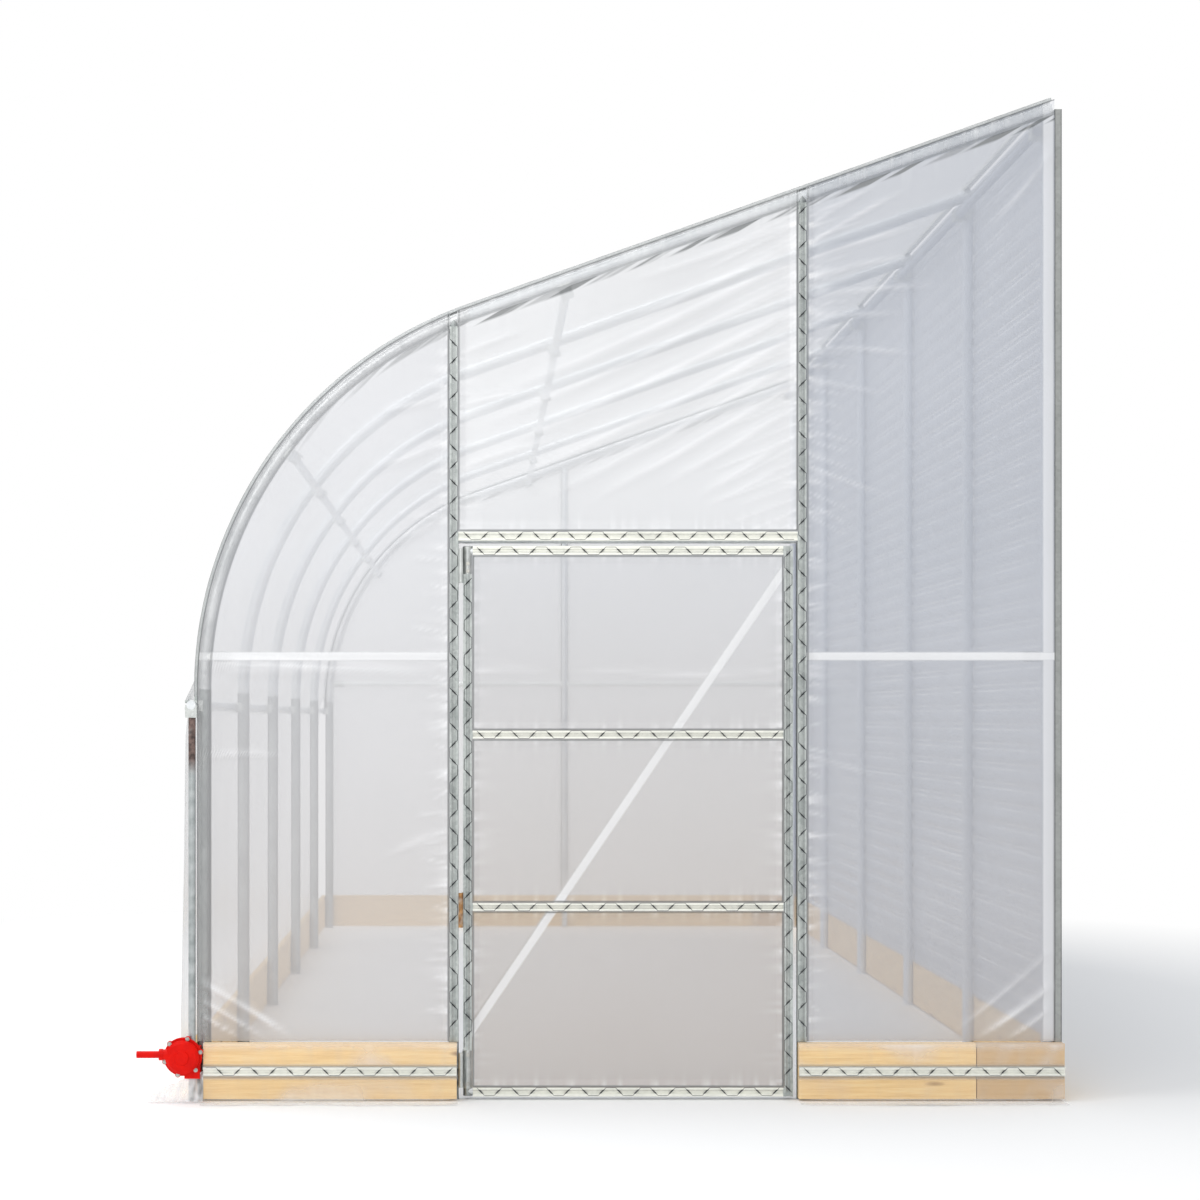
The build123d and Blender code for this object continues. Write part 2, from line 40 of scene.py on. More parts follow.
# the hoop's line and the places that the films follow, in metres
house = {
    "length": 6.1, "bay": 1.22, "legTop": 1.43, "bendRadius": 1.39, "slope": math.radians(19.5),
    "tube": 0.024, "wallOut": 2.966, "leftPost": 0.871, "rightPost": 2.086, "backPost": 1.494,
    "headerChannel": 1.965, "boardTop": 0.2, "boardFront": -0.062, "boardChannel": 0.105,
    "hip": 1.375, "rollX": -0.0660, "rollZ": 0.157, "rollRadius": 0.017,
    "filmReach": 0.0235, "girt": 1.545, "ribPitch": 0.0762, "ribDepth": 0.0040,
}
door = {"left": 0.921, "right": 2.036, "rails": (0.029, 0.672, 1.272, 1.912), "brace": (0.222, 1.865)}
filmReach = house["filmReach"]
slope = house["slope"]
roofX = house["bendRadius"] * (1 - math.sin(slope))
roofZ = house["legTop"] + house["bendRadius"] * math.cos(slope)
bendRun = house["bendRadius"] * (math.pi / 2 - slope)
roofRun = (house["wallOut"] - roofX) / math.cos(slope)


# materials

def addNode(tree, kind, values=None, **settings):
    # a node, with a number, a colour or another node's socket for each input named
    node = tree.nodes.new(kind)
    for name, value in settings.items():
        setattr(node, name, value)
    feed(tree, node, values or {})
    return node


def feed(tree, node, values):
    for name, value in values.items():
        if isinstance(value, bpy.types.NodeSocket):
            tree.links.new(value, node.inputs[name])
        else:
            node.inputs[name].default_value = value


def newMaterial(name):
    mat = bpy.data.materials.new(name)
    mat.use_nodes = True
    tree = mat.node_tree
    tree.nodes.clear()
    shader = addNode(tree, "ShaderNodeBsdfPrincipled")
    addNode(tree, "ShaderNodeOutputMaterial", {"Surface": shader.outputs["BSDF"]})
    return mat, tree, shader, addNode(tree, "ShaderNodeTexCoord").outputs["Object"]


def axesOf(tree, vector):
    return tuple(addNode(tree, "ShaderNodeSeparateXYZ", {0: vector}).outputs)


def stretched(tree, where, scale):
    return addNode(tree, "ShaderNodeMapping", {"Vector": where, "Scale": scale}).outputs["Vector"]


def addNoise(tree, where, scale, detail=3.0, stretch=None, roughness=0.5):
    if stretch:
        where = stretched(tree, where, stretch)
    return addNode(tree, "ShaderNodeTexNoise", {"Vector": where, "Scale": scale, "Detail": detail,
                                                "Roughness": roughness}).outputs["Fac"]


def addRamp(tree, value, stops):
    node = addNode(tree, "ShaderNodeValToRGB", {"Fac": value})
    elements = node.color_ramp.elements
    while len(elements) < len(stops):
        elements.new(0.5)
    for element, (at, colour) in zip(elements, stops):
        element.position = at
        element.color = (*colour, 1)
    return node.outputs["Color"]


def addRange(tree, value, fromLow, fromHigh, toLow, toHigh):
    return addNode(tree, "ShaderNodeMapRange", {"Value": value, "From Min": fromLow, "From Max": fromHigh,
                                                "To Min": toLow, "To Max": toHigh}).outputs["Result"]


def addBump(tree, shader, height, strength, distance):
    node = addNode(tree, "ShaderNodeBump", {"Strength": strength, "Distance": distance, "Height": height})
    feed(tree, shader, {"Normal": node.outputs["Normal"]})


def mixColour(tree, share, first, second):
    first, second = [c if isinstance(c, bpy.types.NodeSocket) else (*c, 1) for c in (first, second)]
    return addNode(tree, "ShaderNodeMix", {"Factor": share, 6: first, 7: second}, data_type="RGBA").outputs[2]


def joinMath(tree, how, *values):
    return addNode(tree, "ShaderNodeMath", dict(enumerate(values)), operation=how).outputs[0]


# sides: how strongly painted shade darkens the left and right sides of an upright
def zincMaterial(name, dark, light, roughness, metallic=0.75, sides=0.0):
    mat, tree, shader, where = newMaterial(name)
    spangle = addNode(tree, "ShaderNodeTexVoronoi", {"Vector": where, "Scale": 90}).outputs["Color"]
    cloud = addNoise(tree, where, 7, 4)
    zinc = addRamp(tree, joinMath(tree, "MULTIPLY_ADD", spangle, 0.35, cloud), ((0.3, dark), (0.85, light)))
    if sides:
        # painted shade: an upright is darkened down its left and right sides, where its surface faces sideways
        x = axesOf(tree, addNode(tree, "ShaderNodeNewGeometry").outputs["Normal"])[0]
        dirtAndShade = addRange(tree, joinMath(tree, "ABSOLUTE", x), 0.55, 0.97, 0, sides)
        zinc = mixColour(tree, dirtAndShade, zinc, (0.07, 0.08, 0.08))
    feed(tree, shader, {"Base Color": zinc, "Metallic": metallic,
                        "Roughness": addRange(tree, cloud, 0.3, 0.7, roughness - 0.07, roughness + 0.1)})
    addBump(tree, shader, addNoise(tree, where, 140, 2), 0.12, 0.0006)
    return mat


def paintEdgeShade(mat, low, high):
    # painted shade: dark lines in the fold of the corner angle and along its outer edge
    tree = mat.node_tree
    shader = next(n for n in tree.nodes if n.type == "BSDF_PRINCIPLED")
    x = axesOf(tree, addNode(tree, "ShaderNodeTexCoord").outputs["Object"])[0]
    first = addRange(tree, x, low, low + 0.003, 0.8, 0)
    last = addRange(tree, x, high - 0.004, high - 0.001, 0, 0.85)
    zinc = shader.inputs["Base Color"].links[0].from_socket
    edgeShaded = mixColour(tree, joinMath(tree, "MAXIMUM", first, last), zinc, (0.03, 0.035, 0.035))
    feed(tree, shader, {"Base Color": edgeShaded})


def rustyMaterial(name, bottom, top, dark, light, rustDark, rustLight):
    # zinc that has gone rusty between two heights
    mat, tree, shader, where = newMaterial(name)
    z = axesOf(tree, where)[2]
    low = addRange(tree, z, bottom - 0.03, bottom + 0.03, 0, 1)
    high = addRange(tree, z, top - 0.03, top + 0.03, 1, 0)
    patch = addRange(tree, addNoise(tree, where, 16, 4), 0.28, 0.44, 0.3, 1)
    patch = joinMath(tree, "MULTIPLY", joinMath(tree, "MULTIPLY", low, high), patch)
    rust = addRamp(tree, addNoise(tree, where, 60, 5), ((0.35, rustDark), (0.65, rustLight)))
    zinc = addRamp(tree, addNoise(tree, where, 30, 4), ((0.3, dark), (0.7, light)))
    feed(tree, shader, {"Base Color": mixColour(tree, patch, zinc, rust),
                        "Roughness": addRange(tree, patch, 0, 1, 0.4, 0.85),
                        "Metallic": addRange(tree, patch, 0, 1, 0.7, 0.1)})
    addBump(tree, shader, addNoise(tree, where, 300, 3), 0.3, 0.0008)
    return mat


def wireMaterial():
    mat, tree, shader, where = newMaterial("springWire")
    tone = addRamp(tree, addNoise(tree, where, 12, 2), ((0.3, (0.008, 0.011, 0.014)), (0.7, (0.028, 0.033, 0.038))))
    feed(tree, shader, {"Base Color": tone, "Roughness": 0.55})
    return mat


def redMaterial():
    mat, tree, shader, where = newMaterial("redPaint")
    cloud = addNoise(tree, where, 22, 4)
    paint = addRamp(tree, cloud, ((0.3, (0.62, 0.003, 0.001)), (0.7, (0.78, 0.006, 0.001))))
    feed(tree, shader, {"Base Color": paint, "Roughness": addRange(tree, cloud, 0.3, 0.7, 0.38, 0.55),
                        "Specular IOR Level": 0.12})
    addBump(tree, shader, addNoise(tree, where, 420, 2), 0.25, 0.0005)
    return mat


def woodMaterial(name, alongX):
    mat, tree, shader, where = newMaterial(name)
    stretch = (1.2, 30, 30) if alongX else (30, 1.2, 30)
    grain = addNoise(tree, where, 3.2, 6, stretch, 0.62)
    fine = addNoise(tree, where, 14, 4, stretch, 0.7)
    broad = addNoise(tree, where, 1.1, 2)
    board = addRamp(tree, grain, ((0.28, (0.78, 0.50, 0.20)), (0.52, (0.94, 0.66, 0.31)), (0.75, (0.98, 0.77, 0.43))))
    board = mixColour(tree, addRange(tree, fine, 0.35, 0.75, 0, 0.32), board, (0.62, 0.37, 0.15))
    board = mixColour(tree, addRange(tree, broad, 0.4, 0.7, 0, 0.3), board, (0.86, 0.66, 0.40))
    spread = stretched(tree, where, (2.2, 7, 9) if alongX else (7, 2.2, 9))
    knots = addNode(tree, "ShaderNodeTexVoronoi", {"Vector": spread, "Scale": 1.0}).outputs["Distance"]
    board = mixColour(tree, addRange(tree, knots, 0.05, 0.11, 0.85, 0), board, (0.26, 0.12, 0.05))
    if alongX:
        # the short end board past the joint has weathered darker
        x = axesOf(tree, where)[0]
        board = mixColour(tree, addRange(tree, x, 2.684, 2.687, 0, 0.6), board, (0.50, 0.33, 0.20))
    feed(tree, shader, {"Base Color": board, "Roughness": addRange(tree, grain, 0.3, 0.7, 0.6, 0.8)})
    addBump(tree, shader, fine, 0.35, 0.0012)
    return mat


def hoopDepth(tree, x, z):
    # how far in from the end hoop's outer edge a point of an end wall lies
    radius = house["bendRadius"]
    aside = joinMath(tree, "SUBTRACT", x, radius)
    above = joinMath(tree, "MAXIMUM", joinMath(tree, "SUBTRACT", z, house["legTop"]), 0.0)
    both = joinMath(tree, "MULTIPLY_ADD", aside, aside, joinMath(tree, "MULTIPLY", above, above))
    bend = joinMath(tree, "SUBTRACT", radius + filmReach, joinMath(tree, "SQRT", both))
    start = roofZ * math.cos(slope) - roofX * math.sin(slope) + filmReach
    roof = joinMath(tree, "MULTIPLY_ADD", x, math.sin(slope), start)
    roof = joinMath(tree, "MULTIPLY_ADD", z, -math.cos(slope), roof)
    past = joinMath(tree, "GREATER_THAN", x, roofX)
    return joinMath(tree, "MULTIPLY_ADD", past, joinMath(tree, "SUBTRACT", roof, bend), bend)


def lineAt(tree, value, middle, inside, outside, most):
    # all of it up to the inside distance from the middle, and none past the outside one
    away = joinMath(tree, "ABSOLUTE", joinMath(tree, "SUBTRACT", value, middle))
    return addRange(tree, away, inside, outside, most, 0)


def filmMaterial(name, tint, alpha, foldAlpha, bands=(), dusty=0.3, hoop=False):
    # film gone milky; "look" holds how gathered, how dirty and darkened by painted shade, and how clear it is at each
    # point, and a band is a painted highlight where it lies against a tube: shares of x and z, their sum along the
    # tube's middle, half width, white
    mat, tree, shader, where = newMaterial(name)
    gather, dirtAndShade, thin = axesOf(tree, addNode(tree, "ShaderNodeAttribute", attribute_name="look").outputs["Vector"])
    x, y, z = axesOf(tree, where)
    # painted highlight: a white band along each tube that lies behind the film
    for shareX, shareZ, middle, half, white in bands:
        line = joinMath(tree, "MULTIPLY_ADD", x, shareX, -middle)
        line = joinMath(tree, "ABSOLUTE", joinMath(tree, "MULTIPLY_ADD", z, shareZ, line))
        line = addRange(tree, line, half - 0.006, half, white, 0)
        free = joinMath(tree, "SUBTRACT", 1.0, thin)
        gather = joinMath(tree, "MAXIMUM", gather, joinMath(tree, "MULTIPLY", line, free))
    if hoop:
        # the end hoop shows through as a tube between two painted shade lines, one at the channel's edge and one at
        # the tube's shaded lower edge, with twisted folds along its inside painted as dark strips of shade
        depth = hoopDepth(tree, x, z)
        along = joinMath(tree, "MULTIPLY_ADD", depth, 24, joinMath(tree, "MULTIPLY", x, 5.5))
        way = addNode(tree, "ShaderNodeCombineXYZ", {"X": along}).outputs["Vector"]
        twist = addRange(tree, addNoise(tree, way, 1.6, 1), 0.44, 0.54, 0, 0.9)
        strip = joinMath(tree, "MULTIPLY", lineAt(tree, depth, 0.058, 0.007, 0.015, 1), twist)
        strip = joinMath(tree, "MULTIPLY", strip, addRange(tree, x, 0.2, 1.0, 0, 1))
        edge = joinMath(tree, "MAXIMUM", lineAt(tree, depth, 0.0015, 0.0016, 0.0034, 0.75),
                        lineAt(tree, depth, 0.045, 0.003, 0.006, 0.55))
        dirtAndShade = joinMath(tree, "MAXIMUM", dirtAndShade, joinMath(tree, "MAXIMUM", edge, strip))
        thin = joinMath(tree, "MAXIMUM", thin, lineAt(tree, depth, filmReach, 0.015, 0.020, 0.6))
    cloud = addNoise(tree, where, 1.1, 2, None, 0.55)
    base = addRamp(tree, cloud, ((0.32, tuple(c * 0.94 for c in tint)), (0.68, tint)))
    # browner low down
    base = mixColour(tree, addRange(tree, z, 0.2, 1.9, dusty, 0), base, (0.46, 0.405, 0.365))
    base = mixColour(tree, gather, base, (0.97, 0.97, 0.98))
    clear = addRange(tree, cloud, 0.3, 0.75, alpha - 0.03, alpha + 0.03)
    for share, target in ((gather, foldAlpha), (dirtAndShade, 0.85), (thin, 0.16)):
        clear = addNode(tree, "ShaderNodeMix", {"Factor": share, "A": clear, "B": target}).outputs["Result"]
    feed(tree, shader, {"Base Color": mixColour(tree, dirtAndShade, base, (0.11, 0.12, 0.12)), "Roughness": 0.3, "IOR": 1.5,
                        "Specular IOR Level": 0.5, "Alpha": clear})
    addBump(tree, shader, addNoise(tree, where, 22, 1, (1, 1, 0.55), 0.6), 0.2, 0.003)
    return mat


# painted highlights: white bands on the front films along the girts, the corner post and the door's brace,
# where the lit tubes lie behind
girtBand = (0, 1, house["girt"], 0.0165, 0.75)
cornerBand = (1, 0, 2.943, 0.021, 0.55)
braceUp, braceAcross = door["brace"][1] - door["brace"][0], door["right"] - door["left"]
braceRun = math.hypot(braceUp, braceAcross)
braceMiddle = (door["left"] * braceUp - door["brace"][0] * braceAcross) / braceRun
braceBand = (braceUp / braceRun, -braceAcross / braceRun, braceMiddle, 0.0165, 0.7)
filmMats = {
    "front_left_sheet": filmMaterial("leftFilm", (0.72, 0.725, 0.75), 0.68, 0.88, (girtBand,), 0.55, True),
    "front_top_sheet": filmMaterial("topFilm", (0.79, 0.795, 0.81), 0.66, 0.90, (), 0.3, True),
    # painted shade: the right-hand panel has a darker blue-grey tint than the others
    "front_right_sheet": filmMaterial("rightFilm", (0.52, 0.54, 0.59), 0.68, 0.90, (girtBand, cornerBand), 0.4, True),
    "door_sheet": filmMaterial("doorFilm", (0.65, 0.655, 0.68), 0.66, 0.88, (braceBand,), 0.95),
}
filmMat = filmMaterial("greenhouseFilm", (0.76, 0.765, 0.78), 0.50, 0.86, (), 0.3, True)
roofMat = filmMaterial("roofFilm", (0.80, 0.81, 0.83), 0.44, 0.80)
skirtMat = filmMaterial("looseFilm", (0.88, 0.87, 0.85), 0.08, 0.80, (), 0)


def wallMaterial():
    mat, tree, shader, where = newMaterial("ribbedSheet")
    # painted shade: the sheet's blue-grey is the tone of a pale wall in shade
    board = addRamp(tree, addNoise(tree, where, 0.8, 3), ((0.3, (0.40, 0.43, 0.50)), (0.7, (0.46, 0.49, 0.56))))
    # painted highlight: the two shoulders of each rib are painted near white, as if catching the light
    z = axesOf(tree, where)[2]
    ribs = joinMath(tree, "COSINE", joinMath(tree, "MULTIPLY", z, 2 * math.pi / house["ribPitch"]))
    patchy = addRange(tree, addNoise(tree, where, 2.5, 3), 0.35, 0.6, 0.35, 1)
    shine = joinMath(tree, "MULTIPLY", lineAt(tree, ribs, 0.59, 0.10, 0.30, 0.75), patchy)
    feed(tree, shader, {"Base Color": mixColour(tree, shine, board, (0.95, 0.96, 0.98)), "Roughness": 0.35,
                        "Alpha": 0.86})
    addBump(tree, shader, addNoise(tree, where, 60, 3), 0.1, 0.001)
    return mat


wallMat = wallMaterial()
wireMat = wireMaterial()
boltMat = zincMaterial("boltZinc", (0.34, 0.34, 0.32), (0.55, 0.54, 0.50), 0.36, 0.85)
zincTone, darkZincTone = ((0.42, 0.44, 0.43), (0.64, 0.66, 0.64)), ((0.30, 0.33, 0.33), (0.50, 0.53, 0.53))
materialFor = {
    "tube": zincMaterial("galvanisedTube", (0.60, 0.63, 0.65), (0.80, 0.82, 0.83), 0.40, 0.45),
    "hoop": zincMaterial("hoopTube", (0.44, 0.46, 0.46), (0.76, 0.77, 0.77), 0.34, 0.55),
    # painted light and shade: the wall-side posts are lightened so they don't show dark in their own shade, and the
    # wall rail is darkened to the blue-grey of the shaded wall so its lit top doesn't show
    "wallTube": zincMaterial("wallSideTube", (0.64, 0.67, 0.73), (0.72, 0.75, 0.80), 0.6, 0.05),
    "wallRail": zincMaterial("wallSideRail", (0.40, 0.43, 0.49), (0.46, 0.49, 0.55), 0.8, 0.0),
    # painted light: uprights and the grey channels get a darker zinc, level channels, girts and brace a near-white
    # one,
    # shaded and lit copies of one galvanised finish
    "upright": zincMaterial("uprightTube", (0.20, 0.22, 0.22), (0.40, 0.43, 0.42), 0.38, 0.5, 0.85),
    "bright": zincMaterial("brightTube", (0.88, 0.90, 0.88), (0.97, 0.98, 0.96), 0.42, 0.05),
    "channel": zincMaterial("lockChannel", (0.76, 0.77, 0.70), (0.90, 0.90, 0.82), 0.4, 0.35),
    "greyChannel": zincMaterial("greyChannel", (0.27, 0.30, 0.29), (0.52, 0.55, 0.53), 0.4, 0.4),
    "fitting": zincMaterial("zincFitting", (0.42, 0.44, 0.43), (0.66, 0.68, 0.66), 0.42),
    "angle": zincMaterial("cornerAngle", (0.26, 0.27, 0.26), (0.36, 0.37, 0.36), 0.45, 0.3),
    # the door's middle hinge is rusty, and so is the guide pole's upper part
    "hinge": rustyMaterial("hingeSteel", 0.55, 0.77, *zincTone, (0.20, 0.085, 0.03), (0.50, 0.27, 0.10)),
    "pole": rustyMaterial("guidePole", 1.16, 1.36, *darkZincTone, (0.07, 0.05, 0.045), (0.22, 0.15, 0.13)),
    "woodAcross": woodMaterial("pineAcross", True),
    "woodAlong": woodMaterial("pineAlong", False),
    "red": redMaterial(),
    "film": filmMat,
    "wall": wallMat,
}
paintEdgeShade(materialFor["angle"], house["wallOut"] + 0.001, house["wallOut"] + 0.025)
print("materials made")


def setMaterial(obj, mat):
    for index in range(len(obj.data.materials)):
        obj.data.materials[index] = mat
    if not obj.data.materials:
        obj.data.materials.append(mat)


nodeMaterials = {
    "tube": ("inner_hoop_bends", "hoop_rafters", "purlins", "hip_rail",
             "front_header", "back_post", "roll_tube", "door_rails"),
    "hoop": ("end_hoop_bends",),
    "wallTube": ("wall_posts",),
    "wallRail": ("wall_rail",),
    "pole": ("guide_pole",),
    "upright": ("hoop_legs", "front_door_posts", "door_stiles"),
    "bright": ("end_girts", "door_brace"),
    "channel": ("header_channel", "board_channels", "ridge_channel", "door_rail_channels"),
    "greyChannel": ("end_hoop_channels", "upright_channels", "door_stile_channels", "hip_channel"),
    "fitting": ("rail_clamps", "girt_sleeves"),
    "angle": ("corner_angles",),
    "hinge": ("hinge_straps", "hinge_brackets"),
    "woodAcross": ("front_baseboards", "back_baseboard"),
    "woodAlong": ("side_baseboard", "wall_baseboard"),
    "red": ("crank_gearbox", "crank_shaft"),
    "film": ("front_left_film", "front_top_film", "front_right_film", "back_film", "eave_film", "roof_film",
             "roll_up_curtain", "board_aprons", "door_film"),
    "wall": ("wall_sheet",),
}
for kind, names in nodeMaterials.items():
    for name in names:
        setMaterial(nodes[name], materialFor[kind])
print("nodes dressed")


# films

def soft(low, high, value):
    t = min(1.0, max(0.0, (value - low) / (high - low)))
    return t * t * (3 - 2 * t)


def wave(x, y, z=0.0):
    return noise.noise(Vector((x, y, z)))


channelShape = {"half": 0.017, "groove": 0.0112, "lip": 0.0104, "dip": 0.0050, "fall": 0.026}


def overChannel(distance):
    # how far a film stands off the tube at this distance from a lock channel's middle line
    c = channelShape
    if distance < c["groove"]:
        return c["dip"]
    if distance < c["groove"] + 0.002:
        return c["dip"] + (c["lip"] - c["dip"]) * soft(c["groove"], c["groove"] + 0.002, distance)
    if distance < c["half"] + 0.001:
        return c["lip"]
    return c["lip"] * (1 - soft(c["half"] + 0.001, c["half"] + c["fall"], distance)) + 0.001


def edgeDirtAndShade(distance):
    # painted shade and dirt: a dark line along the edge of a channel, under the film, where the film bends over its
    # lip
    return 0.85 * soft(0.0140, 0.0170, distance) * (1 - soft(0.0195, 0.0240, distance))


def thinAt(distance):
    return 1.0 if distance < 0.0120 else soft(0.0150, 0.0120, distance)


fineSteps = (0.0, 0.0112, 0.0132, 0.0150, 0.0170, 0.0195, 0.0240, 0.029, 0.036, 0.045, 0.06, 0.085)


def stations(low, high, step, closeLow=True, closeHigh=True):
    # even stations with extra ones where a film climbs over a channel
    points = set()
    count = max(2, round((high - low) / step))
    for i in range(count + 1):
        points.add(round(low + (high - low) * i / count, 5))
    for gap in fineSteps:
        if closeLow:
            points.add(round(low + gap, 5))
        if closeHigh:
            points.add(round(high - gap, 5))
    kept = []
    for p in sorted(points):
        if not kept or p - kept[-1] > 0.0014:
            kept.append(p)
    return kept


def gatherAt(across, along, seed, reach=0.045):
    # small gathers, from 0 to 1, that run away from an edge which grips the film
    if across < 0:
        return 0.0
    fade = math.exp(-across / (reach * (0.7 + 0.9 * abs(wave(along * 5, 0.0, seed + 2)))))
    ripple = max(0.0, wave(along * 34, across * 4, seed) * 1.5 + wave(along * 71, across * 7, seed + 7) * 0.8)
    return fade * min(1.0, ripple * 1.5)


def creaseAt(x, z, creases):
    # long pulled creases: from one point to another, with a width, a height and a share of white
    height, white = 0.0, 0.0
    for x0, z0, x1, z1, width, rise, shine in creases:
        dx, dz = x1 - x0, z1 - z0
        run = math.hypot(dx, dz)
        t = ((x - x0) * dx + (z - z0) * dz) / (run * run)
        if t < -0.05 or t > 1.1:
            continue
        bow = 0.012 * math.sin(math.pi * t) * run
        off = ((x - x0) * dz - (z - z0) * dx) / run + bow + 0.004 * wave(t * run * 3, x0 * 9, z0 * 5)
        if abs(off) > 3 * width:
            continue
        ends = soft(-0.05, 0.06, t) * (1 - soft(0.55, 1.08, t))
        height += rise * ends * math.exp(-(off / width) ** 2)
        white += shine * ends * math.exp(-(off / (width * 0.55)) ** 2) * (0.75 + 0.6 * wave(t * run * 5, x0 * 3, 4.0))
    return height, white


def roofHeightAt(x, reach):
    # height of the film's edge over x, at this distance outside the hoop's centre line
    radius = house["bendRadius"] + reach
    edgeX = roofX - reach * math.sin(slope)
    if x < edgeX:
        side = house["bendRadius"] - x
        return house["legTop"] + math.sqrt(max(0.0, radius * radius - side * side))
    return roofZ + reach * math.cos(slope) + (x - edgeX) * math.tan(slope)


def gridFaces(columns):
    faces = []
    for left, right in zip(columns[:-1], columns[1:]):
        for i in range(len(left) - 1):
            faces.append((left[i], right[i], right[i + 1], left[i + 1]))
    return faces


def newSheet():
    return {"verts": [], "faces": [], "look": []}


def gridOf(sheet, columns):
    sheet["faces"] += gridFaces(columns)
    return sheet


def runOf(points):
    return sum(math.dist(a, b) for a, b in zip(points[:-1], points[1:]))


def addPoint(sheet, place, gather=0.0, dirtAndShade=0.0, thin=0.0):
    sheet["verts"].append(place)
    sheet["look"].append((min(1.0, max(0.0, gather)), min(1.0, max(0.0, dirtAndShade)), min(1.0, max(0.0, thin))))
    return len(sheet["verts"]) - 1


def addMesh(name, verts, faces=(), edges=(), vectors=None):
    # a mesh, with the vectors that its points carry
    mesh = bpy.data.meshes.new(name)
    mesh.from_pydata(verts, edges, faces)
    for label, values in (vectors or {}).items():
        attribute = mesh.attributes.new(label, "FLOAT_VECTOR", "POINT")
        attribute.data.foreach_set("vector", [number for value in values for number in value])
    return mesh


def addObject(name, mesh):
    obj = bpy.data.objects.new(name, mesh)
    bpy.context.scene.collection.objects.link(obj)
    return obj


def faceOut(mesh, outward):
    if sum(f.normal.dot(Vector(outward)) * f.area for f in mesh.polygons) < 0:
        mesh.flip_normals()


def shadeSmooth(mesh):
    for face in mesh.polygons:
        face.use_smooth = True


def makeSheet(name, sheet, mat, outward=None, body="frame"):
    mesh = addMesh(name, sheet["verts"], sheet["faces"], vectors={"look": sheet["look"]})
    if outward:
        faceOut(mesh, outward)
    mesh.materials.append(mat)
    shadeSmooth(mesh)
    obj = addObject(name, mesh)
    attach(obj, body)
    return obj


def gablePanel(p, front):
    # one panel of an end wall; front is -1 at the door end and 1 at the back end
    x0, x1, z0 = p["span"]
    gripLeft, gripRight, gripLow = p["grips"]
    face = -house["tube"] if front < 0 else house["length"] + house["tube"]
    seed = p["seed"]
    lowRows = [g for g in fineSteps if g < 0.061] if gripLow else [0.0, 0.006, 0.012, 0.02, 0.03, 0.045, 0.06]
    sheet, columns = newSheet(), []
    for x in stations(x0, x1, p["step"], gripLeft, gripRight):
        top = roofHeightAt(x, filmReach)
        column = []
        rows = [z0 + r for r in lowRows]
        rows += [z0 + 0.06 + (top - z0 - 0.06) * (i + 1) / p["rows"] for i in range(p["rows"])]
        for z in rows:
            sides = []
            if gripLeft:
                sides.append((x - x0, z, 11))
            if gripRight:
                sides.append((x1 - x, z, 17))
            if gripLow:
                sides.append((z - z0, x, 23))
            nearest = min([s[0] for s in sides] + [9])

            out = max(0.0012, overChannel(nearest))
            free = soft(0.017, 0.12, nearest) * soft(0.0, 0.10, top - z)
            out += free * p["billow"] * (0.5 + 0.5 * wave(x * 1.3, z * 1.1, seed))
            out += free * 0.0030 * wave(x * 3.4, z * 2.6, seed + 3)
            white = 0.0
            for distance, along, extra in sides:
                white += (0.4 if extra == 23 else 0.85) * gatherAt(distance - 0.018, along, seed + extra, 0.028)
            white += 0.7 * gatherAt(top - z, x, seed + 29, 0.035)
            rise, shine = creaseAt(x, z, p["creases"])
            out += 0.0028 * white + rise * free
            white += shine * soft(0.015, 0.03, nearest)
            column.append(addPoint(sheet, (x, face + front * out, z), white, edgeDirtAndShade(nearest), thinAt(nearest)))
        columns.append(column)
    return gridOf(sheet, columns)


def hangPanel(name, p, front, mat):
    obj = makeSheet(name, gablePanel(p, front), mat, (0, front, 0))
    if "node" in p:
        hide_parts(p["node"])


def hoopStations(low, high, step):
    # distances along the hoop's centre line from the leg's foot, with the point and the outward way at each
    stops = []
    count = max(2, math.ceil((high - low) / step))
    for i in range(count + 1):
        s = low + (high - low) * i / count
        if s < house["legTop"]:
            stops.append((s, (0.0, s), (-1.0, 0.0)))
        elif s < house["legTop"] + bendRun:
            a = (s - house["legTop"]) / house["bendRadius"]
            way = (-math.cos(a), math.sin(a))
            point = house["bendRadius"] * (1 + way[0]), house["legTop"] + house["bendRadius"] * way[1]
            stops.append((s, point, way))
        else:
            over = s - house["legTop"] - bendRun
            stops.append((s, (roofX + over * math.cos(slope), roofZ + over * math.sin(slope)),
                          (-math.sin(slope), math.cos(slope))))
    return stops


fullRun = house["legTop"] + bendRun + roofRun


def wrapStrip(sheet, front, seed):
    # where an end wall's film turns over the end hoop and runs into the channel on top of it
    face = 0.0 if front < 0 else house["length"]
    profile = ((0.0215, 0.0253), (0.0250, 0.0243), (0.0290, 0.0218), (0.0322, 0.0192), (0.0343, 0.0177),
               (0.0352, 0.0150), (0.0350, 0.0105), (0.0318, 0.0090))
    columns = []
    for s, point, way in hoopStations(house["hip"] + 0.03, fullRun - 0.004, 0.012):
        column = []
        for i, (reach, y) in enumerate(profile):
            gather = max(0.0, wave(s * 30, i * 0.35, seed)) * 0.7
            swell = 0.0012 * gather * soft(0, 2, i) * (1 - soft(5, 7, i))
            reach += swell
            y += swell
            place = (point[0] + way[0] * reach, face + front * y, point[1] + way[1] * reach)
            # the film's outer edge, where it turns into the channel, gets a painted shade line
            column.append(addPoint(sheet, place, gather * 0.5, 0.9 if i in (4, 5) else 0.0, 0.35))
        columns.append(column)
    gridOf(sheet, columns)


